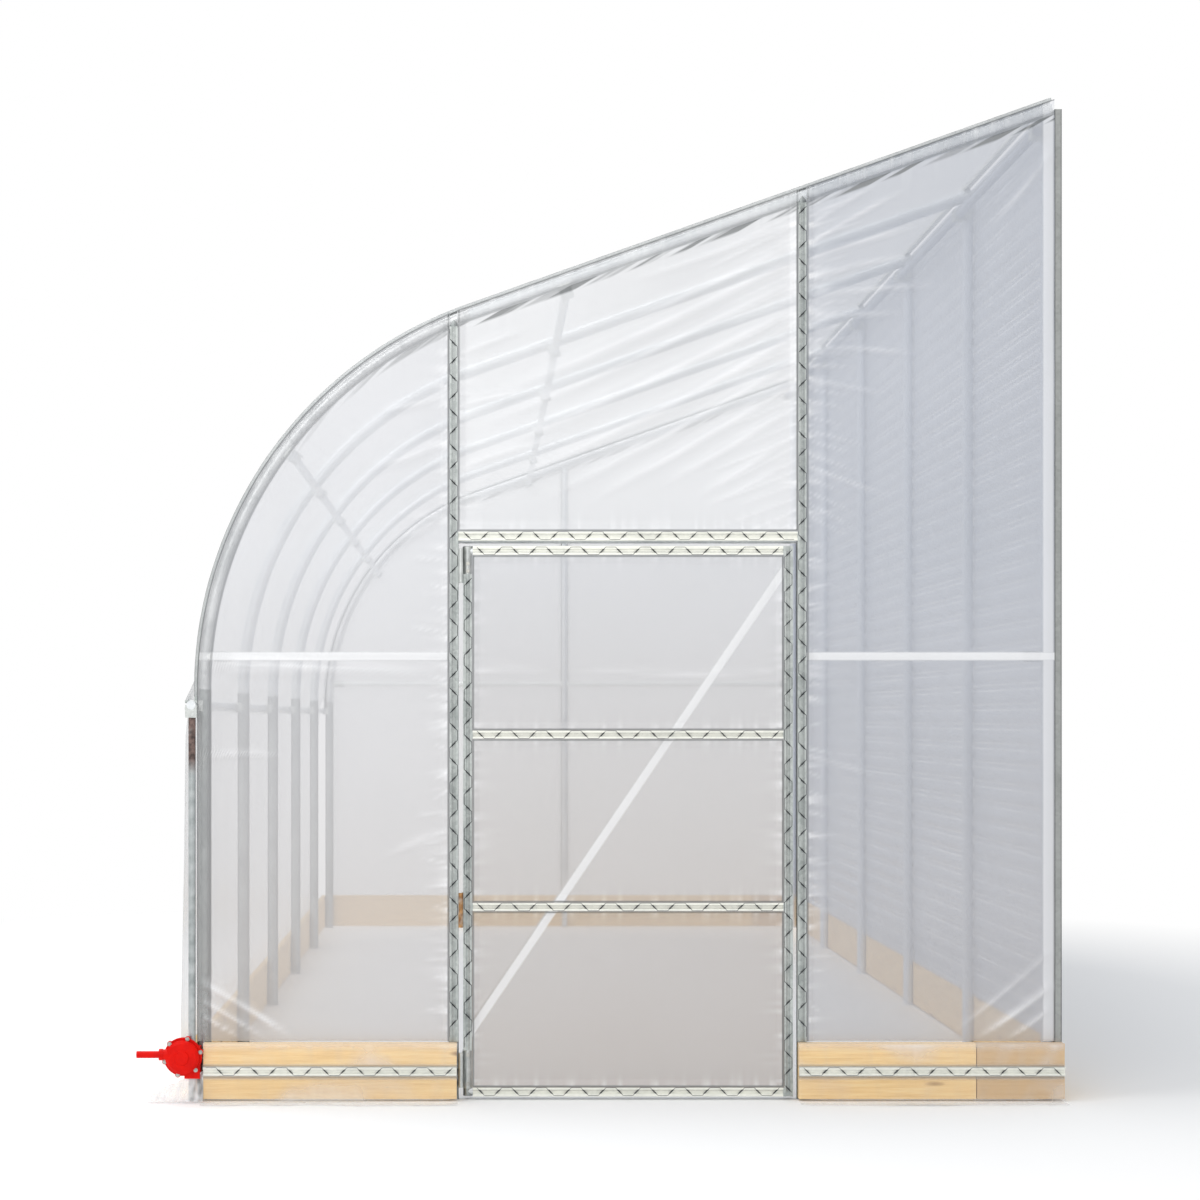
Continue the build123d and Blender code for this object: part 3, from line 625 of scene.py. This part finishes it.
post = house["leftPost"], house["rightPost"]
lowEdge = house["boardTop"] + 0.004
panels = {
    "front_left_sheet": {
        "node": "front_left_film", "span": (-filmReach, post[0], lowEdge), "grips": (False, True, False), "seed": 3.1,
        "billow": 0.004, "step": 0.0095, "rows": 240,
        "creases": [(0.0, 1.203, 0.27, 1.200, 0.009, 0.006, 0.75), (0.0, 0.41, 0.30, 0.225, 0.018, 0.012, 0.85),
                    (0.0, 0.345, 0.21, 0.215, 0.013, 0.009, 0.85), (0.0, 0.29, 0.13, 0.213, 0.011, 0.006, 0.80),
                    (0.02, 1.516, 0.52, 1.500, 0.015, 0.008, 0.45), (0.10, 1.500, 0.86, 1.478, 0.018, 0.008, 0.30),
                    (0.86, 2.46, 0.62, 2.40, 0.014, 0.005, 0.40), (0.86, 2.30, 0.60, 2.20, 0.015, 0.005, 0.35),
                    (0.86, 0.95, 0.62, 0.85, 0.015, 0.005, 0.25), (0.86, 2.05, 0.66, 1.93, 0.014, 0.004, 0.30)],
    },
    "front_top_sheet": {
        "node": "front_top_film", "span": (*post, house["headerChannel"]), "grips": (True, True, True),
        "seed": 8.3, "billow": 0.005, "step": 0.0095, "rows": 125,
        "creases": [(2.068, 2.99, 1.45, 2.70, 0.020, 0.009, 0.45), (2.068, 2.93, 1.05, 2.47, 0.024, 0.011, 0.50),
                    (2.068, 2.86, 1.00, 2.36, 0.018, 0.008, 0.40), (2.068, 2.76, 1.02, 2.27, 0.022, 0.010, 0.55),
                    (2.068, 2.66, 1.08, 2.16, 0.022, 0.010, 0.50), (2.068, 2.58, 1.20, 2.10, 0.017, 0.008, 0.40),
                    (2.068, 2.50, 1.35, 2.09, 0.018, 0.008, 0.45), (2.068, 3.06, 1.50, 2.86, 0.016, 0.007, 0.45),
                    (2.068, 2.42, 1.60, 2.14, 0.016, 0.007, 0.40), (2.068, 2.32, 1.72, 2.10, 0.015, 0.006, 0.40),
                    (0.889, 2.60, 1.12, 2.68, 0.014, 0.004, 0.35), (0.889, 2.42, 1.15, 2.47, 0.014, 0.004, 0.35),
                    (0.889, 2.20, 1.22, 2.30, 0.015, 0.004, 0.30), (1.0, 2.76, 1.95, 3.04, 0.014, 0.004, 0.30)],
    },
    "front_right_sheet": {
        "node": "front_right_film", "span": (post[1], house["wallOut"] - 0.001, lowEdge),
        "grips": (True, False, False), "seed": 14.9, "billow": 0.005, "step": 0.0095, "rows": 300,
        "creases": [(2.104, 2.98, 2.44, 3.17, 0.012, 0.006, 0.50), (2.104, 2.93, 2.50, 3.05, 0.013, 0.007, 0.45),
                    (2.104, 2.87, 2.48, 2.95, 0.013, 0.006, 0.35), (2.104, 2.80, 2.56, 2.84, 0.014, 0.007, 0.40),
                    (2.104, 2.72, 2.44, 2.74, 0.013, 0.006, 0.35), (2.104, 3.04, 2.36, 3.20, 0.011, 0.005, 0.35),
                    (2.104, 2.62, 2.50, 2.60, 0.014, 0.006, 0.35), (2.104, 2.50, 2.38, 2.46, 0.013, 0.005, 0.25),
                    (2.955, 0.40, 2.70, 0.218, 0.017, 0.010, 0.85), (2.955, 0.32, 2.80, 0.213, 0.013, 0.008, 0.85),
                    (2.955, 0.52, 2.60, 0.225, 0.014, 0.005, 0.35), (2.955, 3.30, 2.75, 3.05, 0.014, 0.004, 0.3),
                    (2.104, 2.20, 2.40, 2.10, 0.014, 0.004, 0.25), (2.104, 1.20, 2.35, 1.12, 0.014, 0.004, 0.25)],
    },
}
pick = random.Random(7)
leftCreases, topCreases, rightCreases = [p["creases"] for p in panels.values()]
for k in range(26):
    # the pull is strongest between 2.2 and 3.1 m up
    z = 2.02 + 0.043 * k + pick.uniform(-0.008, 0.008)
    size = pick.uniform(0.6, 1.0)
    fall = (0.10 + 0.05 * pick.random()) * size * 1.2
    topCreases.append((2.068, z, 2.068 - 0.34 * size, z - fall, 0.009, 0.004 * size, 0.42 * size))
    rise = (0.20 * (z - 2.60)) * size
    rightCreases.append((2.104, z + 0.02, 2.104 + 0.21 * size, z + 0.02 + rise, 0.007, 0.004 * size, 0.42 * size))
for k in range(22):
    z = 0.35 + 0.08 * k + pick.uniform(-0.02, 0.02)
    far, lift = pick.uniform(0.05, 0.14), pick.uniform(-0.03, 0.02)
    leftCreases.append((0.853, z, 0.853 - far, z + lift, 0.008, 0.003, 0.35))
    far, lift = pick.uniform(0.04, 0.12), pick.uniform(-0.03, 0.02)
    rightCreases.append((2.104, z, 2.104 + far, z + lift, 0.008, 0.003, 0.30))
for name, p in panels.items():
    hangPanel(name, p, -1, filmMats[name])

sheet = newSheet()
wrapStrip(sheet, -1, 5.5)
wrapStrip(sheet, 1, 9.5)
wraps = makeSheet("end_film_wraps", sheet, filmMat)

backCreases = [(0.1, 1.4, 1.3, 1.8, 0.02, 0.005, 0.3), (1.6, 2.6, 2.6, 2.2, 0.02, 0.005, 0.3),
               (1.4, 2.4, 0.7, 2.2, 0.02, 0.004, 0.3)]
backPanels = {
    "back_left_sheet": {"node": "back_film", "span": (-filmReach, house["backPost"], lowEdge),
                        "grips": (False, True, False), "seed": 21.0},
    "back_right_sheet": {"span": (house["backPost"], house["wallOut"] - 0.001, lowEdge),
                         "grips": (True, False, False), "seed": 27.0},
}
for name, p in backPanels.items():
    p.update({"billow": 0.005, "step": 0.024, "rows": 110, "creases": backCreases})
    hangPanel(name, p, 1, filmMat)
print("end wall films made")


def roofSheet():
    # one sheet from the hip channel over the bend to the ridge channel, gripped by the channels on the end hoops
    sheet, columns = newSheet(), []
    rows = hoopStations(house["hip"] + 0.018, fullRun - 0.017, 0.038)
    bay = house["bay"]
    for y in stations(0.0, house["length"], 0.05):
        column = []
        edge = min(y, house["length"] - y)
        slack = math.sin(math.pi * ((y % bay) / bay)) ** 2
        for s, point, way in rows:
            reach = 0.0240 + overChannel(edge) * 0.98
            fromHip = s - house["hip"]
            fromRidge = fullRun - 0.017 - s
            free = soft(0.02, 0.2, edge) * soft(0.03, 0.25, fromHip) * soft(0.0, 0.2, fromRidge)
            reach -= free * slack * 0.010 * (0.7 + 0.6 * wave(s * 0.8, y * 0.7, 2.0))
            reach += free * 0.0022 * wave(s * 2.2 + y * 1.2, y * 5.5, 6.0)
            white = 0.8 * gatherAt(edge - 0.018, s, 33.0, 0.06) + 0.7 * gatherAt(fromHip, y, 41.0, 0.08)
            white += 0.6 * gatherAt(fromRidge, y, 47.0, 0.06)
            reach += 0.0028 * white + 0.034 * (1 - soft(0.012, 0.10, fromHip))
            place = (point[0] + way[0] * reach, y, point[1] + way[1] * reach)
            column.append(addPoint(sheet, place, white, edgeDirtAndShade(edge), thinAt(edge)))
        columns.append(column)
    return gridOf(sheet, columns)


roof = makeSheet("roof_sheet", roofSheet(), roofMat, (-0.3, 0, 1))
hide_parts("roof_film", "eave_film")


def curtainSheet():
    # hangs from the hip channel, comes down slack outside the legs and winds onto the roll tube
    sheet, columns = newSheet(), []
    rollX, rollZ, radius = house["rollX"], house["rollZ"], house["rollRadius"]
    count = 150
    for i in range(count + 1):
        y = 0.002 + (house["length"] - 0.004) * i / count
        path = [(-0.0600, house["hip"]), (-0.0640, house["hip"] - 0.004), (-0.0675, house["hip"] - 0.012),
                (-0.0665, house["hip"] - 0.020), (-0.0600, house["hip"] - 0.026)]
        startX, startZ = path[-1]
        endX, endZ = rollX - radius + 0.0012, rollZ + 0.004
        for k in range(1, 42):
            t = k / 42
            x = startX + (endX - startX) * t
            z = startZ + (endZ - startZ) * t
            free = soft(0, 0.08, t) * (1 - soft(0.9, 1, t))
            x -= free * (0.004 + 0.006 * abs(wave(y * 1.7, z * 1.2, 51.0)) + 0.003 * wave(y * 7.5, z * 0.9, 55.0))
            path.append((x, z))
        for k in range(0, 34):
            turn = math.pi + k * 0.32
            r = radius - 0.0008 - 0.0028 * k / 33
            path.append((rollX + r * math.cos(turn), rollZ + r * math.sin(turn)))
        column = []
        for k, (x, z) in enumerate(path):
            white = 0.6 * max(0.0, wave(y * 22, z * 1.6, 57.0)) + (0.25 if k > 45 else 0.0)
            column.append(addPoint(sheet, (x, y, z), white))
        columns.append(column)
    return gridOf(sheet, columns), runOf(path)


curtainPoints, curtainRun = curtainSheet()
curtain = makeSheet("roll_up_sheet", curtainPoints, roofMat)
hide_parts("roll_up_curtain")
print("roof and curtain made")


def skirtStrip(x0, x1, boardFace, out, seed):
    # loose film over a baseboard: down its face, through the channel, and a tail that lies flat at its foot
    top, low = house["boardTop"], house["boardChannel"]
    profile = [(-0.0370, top + 0.0150), (-0.0340, top + 0.0050), (-0.020, top + 0.0034), (-0.004, top + 0.0030),
               (0.0020, top + 0.0010), (0.0040, top - 0.006), (0.0032, top - 0.03), (0.0030, low + 0.045),
               (0.0034, low + 0.026), (0.0080, low + 0.0190), (0.0112, low + 0.0165), (0.0113, low + 0.0112),
               (0.0055, low + 0.0085), (0.0048, low), (0.0055, low - 0.0085), (0.0113, low - 0.0112),
               (0.0112, low - 0.0165), (0.0075, low - 0.021), (0.0044, low - 0.032), (0.0038, low - 0.055),
               (0.0050, 0.030), (0.0085, 0.012), (0.0180, 0.0040),
               (0.0330, 0.0028), (0.0520, 0.0024), (0.0720, 0.0024), (0.0900, 0.0024)]
    sheet, columns = newSheet(), []
    count = max(4, round((x1 - x0) / 0.011))
    for i in range(count + 1):
        x = x0 + (x1 - x0) * i / count
        column = []
        for j, (off, z) in enumerate(profile):
            loose = 1.0 if 5 <= j <= 8 else soft(16, 20, j)
            tail = soft(20.5, 26, j)
            ridge = max(0.0, wave(x * 21, z * 9, seed)) + 0.6 * max(0.0, wave(x * 52, z * 13, seed + 3))
            fold = 0.0045 * loose * abs(wave(x * 9, z * 6, seed)) + 0.0030 * loose * ridge
            far = off * (1 + 0.25 * tail * wave(x * 2.3, 0.0, seed + 5)) + tail * 0.020 * wave(x * 6.1, 1.0, seed + 6)
            lift = tail * 0.009 * abs(wave(x * 13, j * 0.45, seed + 9))
            channelGap = abs(z - low) if 8 < j < 18 else 1.0
            lines = max(0.0, wave(x * 2.2, j * 1.7, seed + 13) * 1.6)
            streak = soft(0.0, 0.4, wave((x - z * 0.6) * 11, z * 2, seed + 31)) if out < 0 else 0.0
            streak *= soft(2.70, 2.82, x)
            milky = soft(0.05, 0.35, wave(x * 3.1, z * 5 + x * 1.7, seed + 21)) * (1 if off < 0.02 else 0)
            white = (ridge * 0.16 + 0.34 * (0.8 * streak + milky)) * loose * (1 - tail) + tail * (0.30 + 0.6 * lines)
            white += 0.3 if j in (3, 4, 5) else 0.0
            place = (x, boardFace + out * (far + fold), z + lift)
            dirtAndShade = edgeDirtAndShade(channelGap) + tail * 0.22 * (0.4 + lines)
            column.append(addPoint(sheet, place, white, dirtAndShade, 0.4 if channelGap < 0.02 else 0.0))
        columns.append(column)
    return gridOf(sheet, columns), (runOf(profile) + 0.03, x1 - x0 + 0.01)


front = house["boardFront"]
strips = {
    "left_board_skirt": (0.002, 0.886, front, -1, 61.0),
    "right_board_skirt": (2.066, house["wallOut"] + 0.022, front, -1, 67.0),
    "back_board_skirt": (-0.024, house["wallOut"], house["length"] - front, 1, 71.0),
}
for name, strip in strips.items():
    sheet, flat = skirtStrip(*strip)
    obj = makeSheet(name, sheet, skirtMat)
    if name == "left_board_skirt":
        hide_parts("board_aprons")


flapSize = {"wide": 0.188, "deep": 0.140, "high": 0.092, "foot": 0.012, "flat": 0.036}


def flapSheet():
    # the curtain's loose end, crumpled beside the crank
    sheet, columns = newSheet(), []
    for i in range(49):
        u = i / 48
        x = 0.004 - flapSize["wide"] * u
        top = flapSize["high"] * (1 - u) ** 0.8 + flapSize["foot"] + 0.006 * wave(u * 9, 0.0, 91.0)
        column = []
        for j in range(25):
            v = j / 24
            rising = soft(0.35, 1.0, v)
            z = 0.0025 + top * rising + 0.004 * abs(wave(u * 11, v * 5, 92.0)) * (1 - rising)
            y = -0.068 - flapSize["flat"] * (1 - v) ** 1.5
            y -= 0.006 * wave(u * 14, v * 3, 93.0) + 0.004 * abs(wave(u * 31, v * 6, 94.0))
            white = 0.55 + 0.8 * wave(u * 12, v * 7, 95.0)
            column.append(addPoint(sheet, (x, y, z), white, 0.25 * max(0.0, wave(u * 9, v * 6, 96.0)) + 0.08))
        columns.append(column)
    return gridOf(sheet, columns)


flap = makeSheet("curtain_flap", flapSheet(), skirtMat)


def doorSheet():
    # one sheet over the leaf, gripped all round and at both middle rails
    left, right, grips = door["left"], door["right"], door["rails"]
    rows = set()
    for a, b in zip(grips[:-1], grips[1:]):
        rows.update(stations(a, b, 0.014))
    rows = sorted(rows)
    rows = [z for i, z in enumerate(rows) if i == 0 or z - rows[i - 1] > 0.0012]
    creases = [(0.94, 1.494, 1.20, 1.496, 0.009, 0.004, 0.7), (1.98, 1.492, 1.30, 1.497, 0.009, 0.004, 0.7)]
    sheet, columns = newSheet(), []
    for x in stations(left, right, 0.014):
        column = []
        for z in rows:
            side = min(x - left, right - x)
            rail = min(abs(z - g) for g in grips)
            near = min(side, rail)
            out = max(0.0012, overChannel(near))
            free = soft(0.017, 0.10, near)
            out += free * 0.004 * (0.5 + 0.5 * wave(x * 1.6, z * 1.4, 81.0))
            out += free * 0.002 * wave(x * 3.4, z * 3, 82.0)
            white = 0.7 * gatherAt(side - 0.018, z, 83.0, 0.022) + 0.4 * gatherAt(rail - 0.018, x, 87.0, 0.018)
            rise, shine = creaseAt(x, z, creases)
            out += 0.0024 * white + rise * free
            white += shine * soft(0.015, 0.03, near)
            column.append(addPoint(sheet, (x, -house["tube"] - out, z), white, edgeDirtAndShade(near), thinAt(near)))
        columns.append(column)
    return gridOf(sheet, columns)


doorFilm = makeSheet("door_sheet", doorSheet(), filmMats["door_sheet"], (0, -1, 0), "door")
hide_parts("door_film")


# the ribbed sheet, bolts and spring wires, by geometry nodes

def newTree(name, sizes):
    tree = bpy.data.node_groups.new(name, "GeometryNodeTree")
    tree.interface.new_socket(name="Places", in_out="INPUT", socket_type="NodeSocketGeometry")
    for label, value in sizes.items():
        tree.interface.new_socket(name=label, in_out="INPUT", socket_type="NodeSocketFloat").default_value = value
    tree.interface.new_socket(name="Geometry", in_out="OUTPUT", socket_type="NodeSocketGeometry")
    return tree, addNode(tree, "NodeGroupInput").outputs


def endTree(tree, made, mat):
    real = addNode(tree, "GeometryNodeRealizeInstances", {"Geometry": made})
    paint = addNode(tree, "GeometryNodeSetMaterial", {"Geometry": real.outputs["Geometry"], "Material": mat})
    addNode(tree, "NodeGroupOutput", {"Geometry": paint.outputs["Geometry"]})
    return tree


def pointVector(tree, label):
    node = addNode(tree, "GeometryNodeInputNamedAttribute", {"Name": label}, data_type="FLOAT_VECTOR")
    return node.outputs["Attribute"]


def vectorOf(tree, **parts):
    return addNode(tree, "ShaderNodeCombineXYZ", parts).outputs[0]


def growPiece(name, mesh, group, body, smooth=False):
    # a piece that a tree makes from a plain mesh, as a plain mesh again
    obj = addObject(name, mesh)
    obj.modifiers.new("tree", "NODES").node_group = group
    bpy.context.view_layer.update()
    final = bpy.data.meshes.new_from_object(obj.evaluated_get(bpy.context.evaluated_depsgraph_get()))
    obj.modifiers.clear()
    obj.data = final
    if smooth:
        shadeSmooth(final)
    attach(obj, body)
    return obj


def ribTree():
    tree, given = newTree("foldRibs", {"Pitch": house["ribPitch"], "Depth": house["ribDepth"]})
    z = axesOf(tree, addNode(tree, "GeometryNodeInputPosition").outputs["Position"])[2]
    turn = joinMath(tree, "DIVIDE", joinMath(tree, "MULTIPLY", z, 2 * math.pi), given["Pitch"])
    rise = joinMath(tree, "MULTIPLY", joinMath(tree, "COSINE", turn), given["Depth"])
    fold = addNode(tree, "GeometryNodeSetPosition", {"Geometry": given["Places"], "Offset": vectorOf(tree, X=rise)})
    return endTree(tree, fold.outputs["Geometry"], wallMat)


def ribbedWall():
    # a rigid sheet with level ribs on the tall side
    low, high = house["boardTop"], roofHeightAt(house["wallOut"], house["tube"]) + 0.002
    x, y0, y1 = house["wallOut"] + 0.005, channelShape["half"], house["length"] - channelShape["half"]
    count = round((high - low) / house["ribPitch"] * 10)
    verts, columns = [], []
    for j in range(25):
        columns.append(range(len(verts), len(verts) + count + 1))
        verts += [(x, y0 + (y1 - y0) * j / 24, low + (high - low) * i / count) for i in range(count + 1)]
    mesh = addMesh("ribbed_wall", verts, gridFaces(columns))
    faceOut(mesh, (1, 0, 0))
    obj = growPiece("ribbed_wall", mesh, ribTree(), "frame", True)
    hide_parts("wall_sheet")


ribbedWall()
print("all sheets made")

bolt = {"taper": 0.9, "washerShare": 0.25, "sides": 6, "washerSides": 12}


def boltTree():
    # heads on washers, one high before they are scaled
    tree, given = newTree("setBolts", {"Head taper": bolt["taper"], "Washer share": bolt["washerShare"]})
    share = given["Washer share"]
    aim = addNode(tree, "FunctionNodeAlignRotationToVector", {"Vector": pointVector(tree, "way")}, axis="Z")
    headWide, high, washerWide = axesOf(tree, pointVector(tree, "size"))
    head = addNode(tree, "GeometryNodeMeshCone", {
        "Vertices": bolt["sides"], "Radius Top": given["Head taper"], "Radius Bottom": 1.0,
        "Depth": joinMath(tree, "SUBTRACT", 1.0, share)})
    washer = addNode(tree, "GeometryNodeMeshCylinder", {"Vertices": bolt["washerSides"], "Radius": 1.0,
                                                        "Depth": share})
    join = addNode(tree, "GeometryNodeJoinGeometry")
    for shape, lift, wide in ((head, share, headWide), (washer, joinMath(tree, "MULTIPLY", share, 0.5), washerWide)):
        raised = addNode(tree, "GeometryNodeTransform", {"Geometry": shape.outputs["Mesh"],
                                                         "Translation": vectorOf(tree, Z=lift)})
        lay = addNode(tree, "GeometryNodeInstanceOnPoints", {
            "Points": given["Places"], "Instance": raised.outputs["Geometry"],
            "Rotation": aim.outputs["Rotation"], "Scale": vectorOf(tree, X=wide, Y=wide, Z=high)})
        feed(tree, join, {"Geometry": lay.outputs["Instances"]})
    return endTree(tree, join.outputs["Geometry"], boltMat)


setBolts = boltTree()


def makeBolts(name, spots, body):
    # each spot: place, way out, head radius, height, washer radius
    vectors = {"way": [spot[1] for spot in spots], "size": [spot[2:] for spot in spots]}
    growPiece(name, addMesh(name, [spot[0] for spot in spots], vectors=vectors), setBolts, body)


hoopYs = [house["bay"] * i for i in range(6)]
lugs = {"ring": 0.064, "face": -0.0825}
frameSpots = []
for k in range(6):
    turn = math.radians(60 * k + 15)
    x, z = house["rollX"] + lugs["ring"] * math.cos(turn), house["rollZ"] + lugs["ring"] * math.sin(turn)
    frameSpots.append(((x, lugs["face"], z), (0, -1, 0), 0.0055, 0.005, 0.0075))
# screws through the wall sheet into each post, and through the end angles
for y in hoopYs:
    aside = 0.036 if y < 0.1 else (-0.036 if y > 6.0 else 0.0)
    x = 2.9745 if aside == 0 else 2.979
    frameSpots += [((x, y + aside, 0.32 + 0.56 * row), (1, 0, 0), 0.0045, 0.005, 0.010) for row in range(6)]
# screws in the side boards
for y in hoopYs:
    y = min(max(y, 0.02), house["length"] - 0.02)
    frameSpots += [((-0.049, y, z), (-1, 0, 0), 0.0045, 0.004, 0.008) for z in (0.05, 0.16)]
makeBolts("frame_bolts", frameSpots, "frame")
doorSpots = [((door["left"], -0.0255, z), (0, -1, 0), 0.0050, 0.0045, 0.0070) for z in (0.055, 0.155, 1.842, 1.868)]
makeBolts("door_bolts", doorSpots, "door")
print("bolts made")

wire = {"pitch": 0.120, "swing": 0.0132, "radius": 0.0021, "bend": 0.004, "height": 0.0084, "flat": 0.0020}


def wireTree():
    # two points go to one lip and two to the other, each pair drawn apart along the channel
    tree, given = newTree("layWire", {"Pitch": wire["pitch"], "Swing": wire["swing"], "Wire radius": wire["radius"],
                                      "Bend": wire["bend"], "Flat": wire["flat"]})
    line = addNode(tree, "GeometryNodeMeshToCurve", {"Mesh": given["Places"]}).outputs["Curve"]
    points = addNode(tree, "GeometryNodeResampleCurve", {
        "Curve": line, "Length": joinMath(tree, "MULTIPLY", given["Pitch"], 0.25)}, mode="LENGTH")
    index = addNode(tree, "GeometryNodeInputIndex").outputs[0]
    tangent = addNode(tree, "GeometryNodeInputTangent").outputs[0]
    moves = {}
    for i, (way, size, every) in enumerate(((pointVector(tree, "across"), "Swing", 4), (tangent, "Flat", 2))):
        # 1 or -1, changing with the point's number
        past = joinMath(tree, "GREATER_THAN", joinMath(tree, "MODULO", index, every), (every - 1) / 2)
        reach = joinMath(tree, "MULTIPLY", joinMath(tree, "MULTIPLY_ADD", past, 2, -1), given[size])
        moves[i] = addNode(tree, "ShaderNodeVectorMath", {0: way, "Scale": reach}, operation="SCALE").outputs[0]
    both = addNode(tree, "ShaderNodeVectorMath", moves).outputs[0]
    shift = addNode(tree, "GeometryNodeSetPosition", {"Geometry": points.outputs["Curve"], "Offset": both})
    bent = addNode(tree, "GeometryNodeFilletCurve", {"Curve": shift.outputs["Geometry"], "Radius": given["Bend"],
                                                     "Count": 3}, mode="POLY")
    ring = addNode(tree, "GeometryNodeCurvePrimitiveCircle", {"Resolution": 6, "Radius": given["Wire radius"]})
    made = addNode(tree, "GeometryNodeCurveToMesh", {
        "Curve": bent.outputs["Curve"], "Profile Curve": ring.outputs["Curve"], "Fill Caps": True})
    return endTree(tree, made.outputs["Mesh"], wireMat)


layWire = wireTree()


def layWires(name, lines, body):
    # lines: the points of each channel on the wire's own level, and the way across it
    verts, edges, ways = [], [], []
    for points, across in lines:
        edges += [(i, i + 1) for i in range(len(verts), len(verts) + len(points) - 1)]
        verts += [tuple(p) for p in points]
        ways += [across] * len(points)
    growPiece(name, addMesh(name, verts, (), edges, {"across": ways}), layWire, body, True)


def straight(start, end, across, inset=0.012):
    a, b = Vector(start), Vector(end)
    step = (b - a).normalized() * inset
    return ([a + step, b - step], across)


def levelLine(x0, x1, y, z):
    return straight((x0, y, z), (x1, y, z), (0, 0, 1))


def uprightLine(x, y, z0, z1):
    return straight((x, y, z0), (x, y, z1), (1, 0, 0))


def hoopLine(y, height):
    stops = hoopStations(house["hip"] + 0.03, fullRun - 0.02, 0.02)
    return ([(p[0] + w[0] * height, y, p[1] + w[1] * height) for s, p, w in stops], (0, 1, 0))


tube, level, half = house["tube"], wire["height"], channelShape["half"]
frontY, backY = -tube - level, house["length"] + tube + level
boardY = house["boardFront"] - level
gripTop = house["boardTop"] + 0.01
lines = [uprightLine(x, frontY, gripTop, roofHeightAt(x, -tube)) for x in post]
lines.append(levelLine(post[0] + 0.02, post[1] - 0.02, frontY, house["headerChannel"]))
boards = ((0.003, 0.882, boardY), (2.07, 2.991, boardY), (-tube, house["wallOut"], house["length"] - boardY))
lines += [levelLine(x0, x1, y, house["boardChannel"]) for x0, x1, y in boards]
lines.append(uprightLine(house["backPost"], backY, gripTop, roofHeightAt(house["backPost"], -tube)))
hipX, angleX = -0.056 - level, house["wallOut"] + 0.006
lines.append(straight((hipX, -0.02, house["hip"]), (hipX, house["length"] + 0.02, house["hip"]), (0, 0, 1)))
for y in (0.0, house["length"]):
    lines.append(straight((angleX, y, gripTop), (angleX, y, 3.43), (0, 0.7, 0)))
    lines.append(hoopLine(y, tube + level))
ridgeX = house["wallOut"] - half * math.cos(slope) - (tube + level) * math.sin(slope)
ridgeZ = roofHeightAt(house["wallOut"], 0.0) - half * math.sin(slope) + (tube + level) * math.cos(slope)
ridgeWay = (math.cos(slope), 0, math.sin(slope))
lines.append(straight((ridgeX, half, ridgeZ), (ridgeX, house["length"] - half, ridgeZ), ridgeWay))
layWires("frame_spring_wires", lines, "frame")
doorLines = [uprightLine(door["left"], frontY, 0.172, 1.831), uprightLine(door["right"], frontY, 0.012, 1.929)]
doorLines += [levelLine(door["left"] + half, door["right"] - half, frontY, z) for z in door["rails"]]
layWires("door_spring_wires", doorLines, "door")
print("wires laid")

# floor, light and camera

def makeFloor():
    # a pale floor that keeps the shadow near the greenhouse and runs out to plain white
    mat, tree, shader, where = newMaterial("paleFloor")
    feed(tree, shader, {"Base Color": (0.93, 0.93, 0.93, 1), "Roughness": 0.9, "Specular IOR Level": 0.1})
    shift = addNode(tree, "ShaderNodeVectorMath", {0: where, 1: (1.5, 2.4, 0)}, operation="SUBTRACT")
    length = addNode(tree, "ShaderNodeVectorMath", {0: shift.outputs["Vector"]}, operation="LENGTH").outputs["Value"]
    plain = addNode(tree, "ShaderNodeEmission").outputs["Emission"]
    mix = addNode(tree, "ShaderNodeMixShader", {"Fac": addRange(tree, length, 3.0, 5.5, 0, 1),
                                                1: shader.outputs["BSDF"], 2: plain})
    out = next(n for n in tree.nodes if n.type == "OUTPUT_MATERIAL")
    feed(tree, out, {"Surface": mix.outputs["Shader"]})
    mesh = addMesh("floor", [(-60, -60, 0), (60, -60, 0), (60, 80, 0), (-60, 80, 0)], [(0, 1, 2, 3)])
    mesh.materials.append(mat)
    addObject("floor", mesh)


makeFloor()

# the sky is plain white where it is seen, in gloss and through film, and lights a little less
world = bpy.data.worlds.new("studio")
bpy.context.scene.world = world
world.use_nodes = True
tree = world.node_tree
tree.nodes.clear()
light = addNode(tree, "ShaderNodeBackground", {"Color": (0.96, 0.98, 1.0, 1), "Strength": 0.72}).outputs[0]
seen = addNode(tree, "ShaderNodeBackground", {"Color": (1, 1, 1, 1), "Strength": 1.0}).outputs[0]
rays = addNode(tree, "ShaderNodeLightPath").outputs
sight = joinMath(tree, "MAXIMUM", rays["Is Camera Ray"], rays["Is Glossy Ray"])
sight = joinMath(tree, "MAXIMUM", sight, rays["Is Transmission Ray"])
mix = addNode(tree, "ShaderNodeMixShader", {"Fac": sight, 1: light, 2: seen})
addNode(tree, "ShaderNodeOutputWorld", {"Surface": mix.outputs[0]})


def areaLight(name, place, aim, size, power):
    data = bpy.data.lights.new(name, "AREA")
    data.shape = "RECTANGLE"
    data.size, data.size_y = size
    data.energy = power
    obj = bpy.data.objects.new(name, data)
    obj.location = place
    obj.rotation_mode = "QUATERNION"
    obj.rotation_quaternion = (Vector(aim) - Vector(place)).to_track_quat("-Z", "Y")
    bpy.context.scene.collection.objects.link(obj)


areaLight("sky", (-2, 2, 9), (1.5, 3, 0), (9, 9), 620)
areaLight("frontLight", (-1.5, -9, 5.5), (1.5, 0, 1.2), (7, 4), 260)

bpy.context.scene.view_settings.view_transform = "Standard"
photo = {"distance": 7.485, "x": 0.97, "height": 1.33, "lens": 64.2, "shift": 0.0983}
camData = bpy.data.cameras.new("camera")
camData.lens = photo["lens"]
camData.sensor_width = 36
camData.shift_x = photo["shift"]
camData.shift_y = photo["shift"]
camData.clip_end = 200
cam = bpy.data.objects.new("camera", camData)
cam.location = (photo["x"], -photo["distance"], photo["height"])
cam.rotation_euler = (math.pi / 2, 0, 0)
bpy.context.scene.collection.objects.link(cam)
bpy.context.scene.camera = cam

print("scene ready")
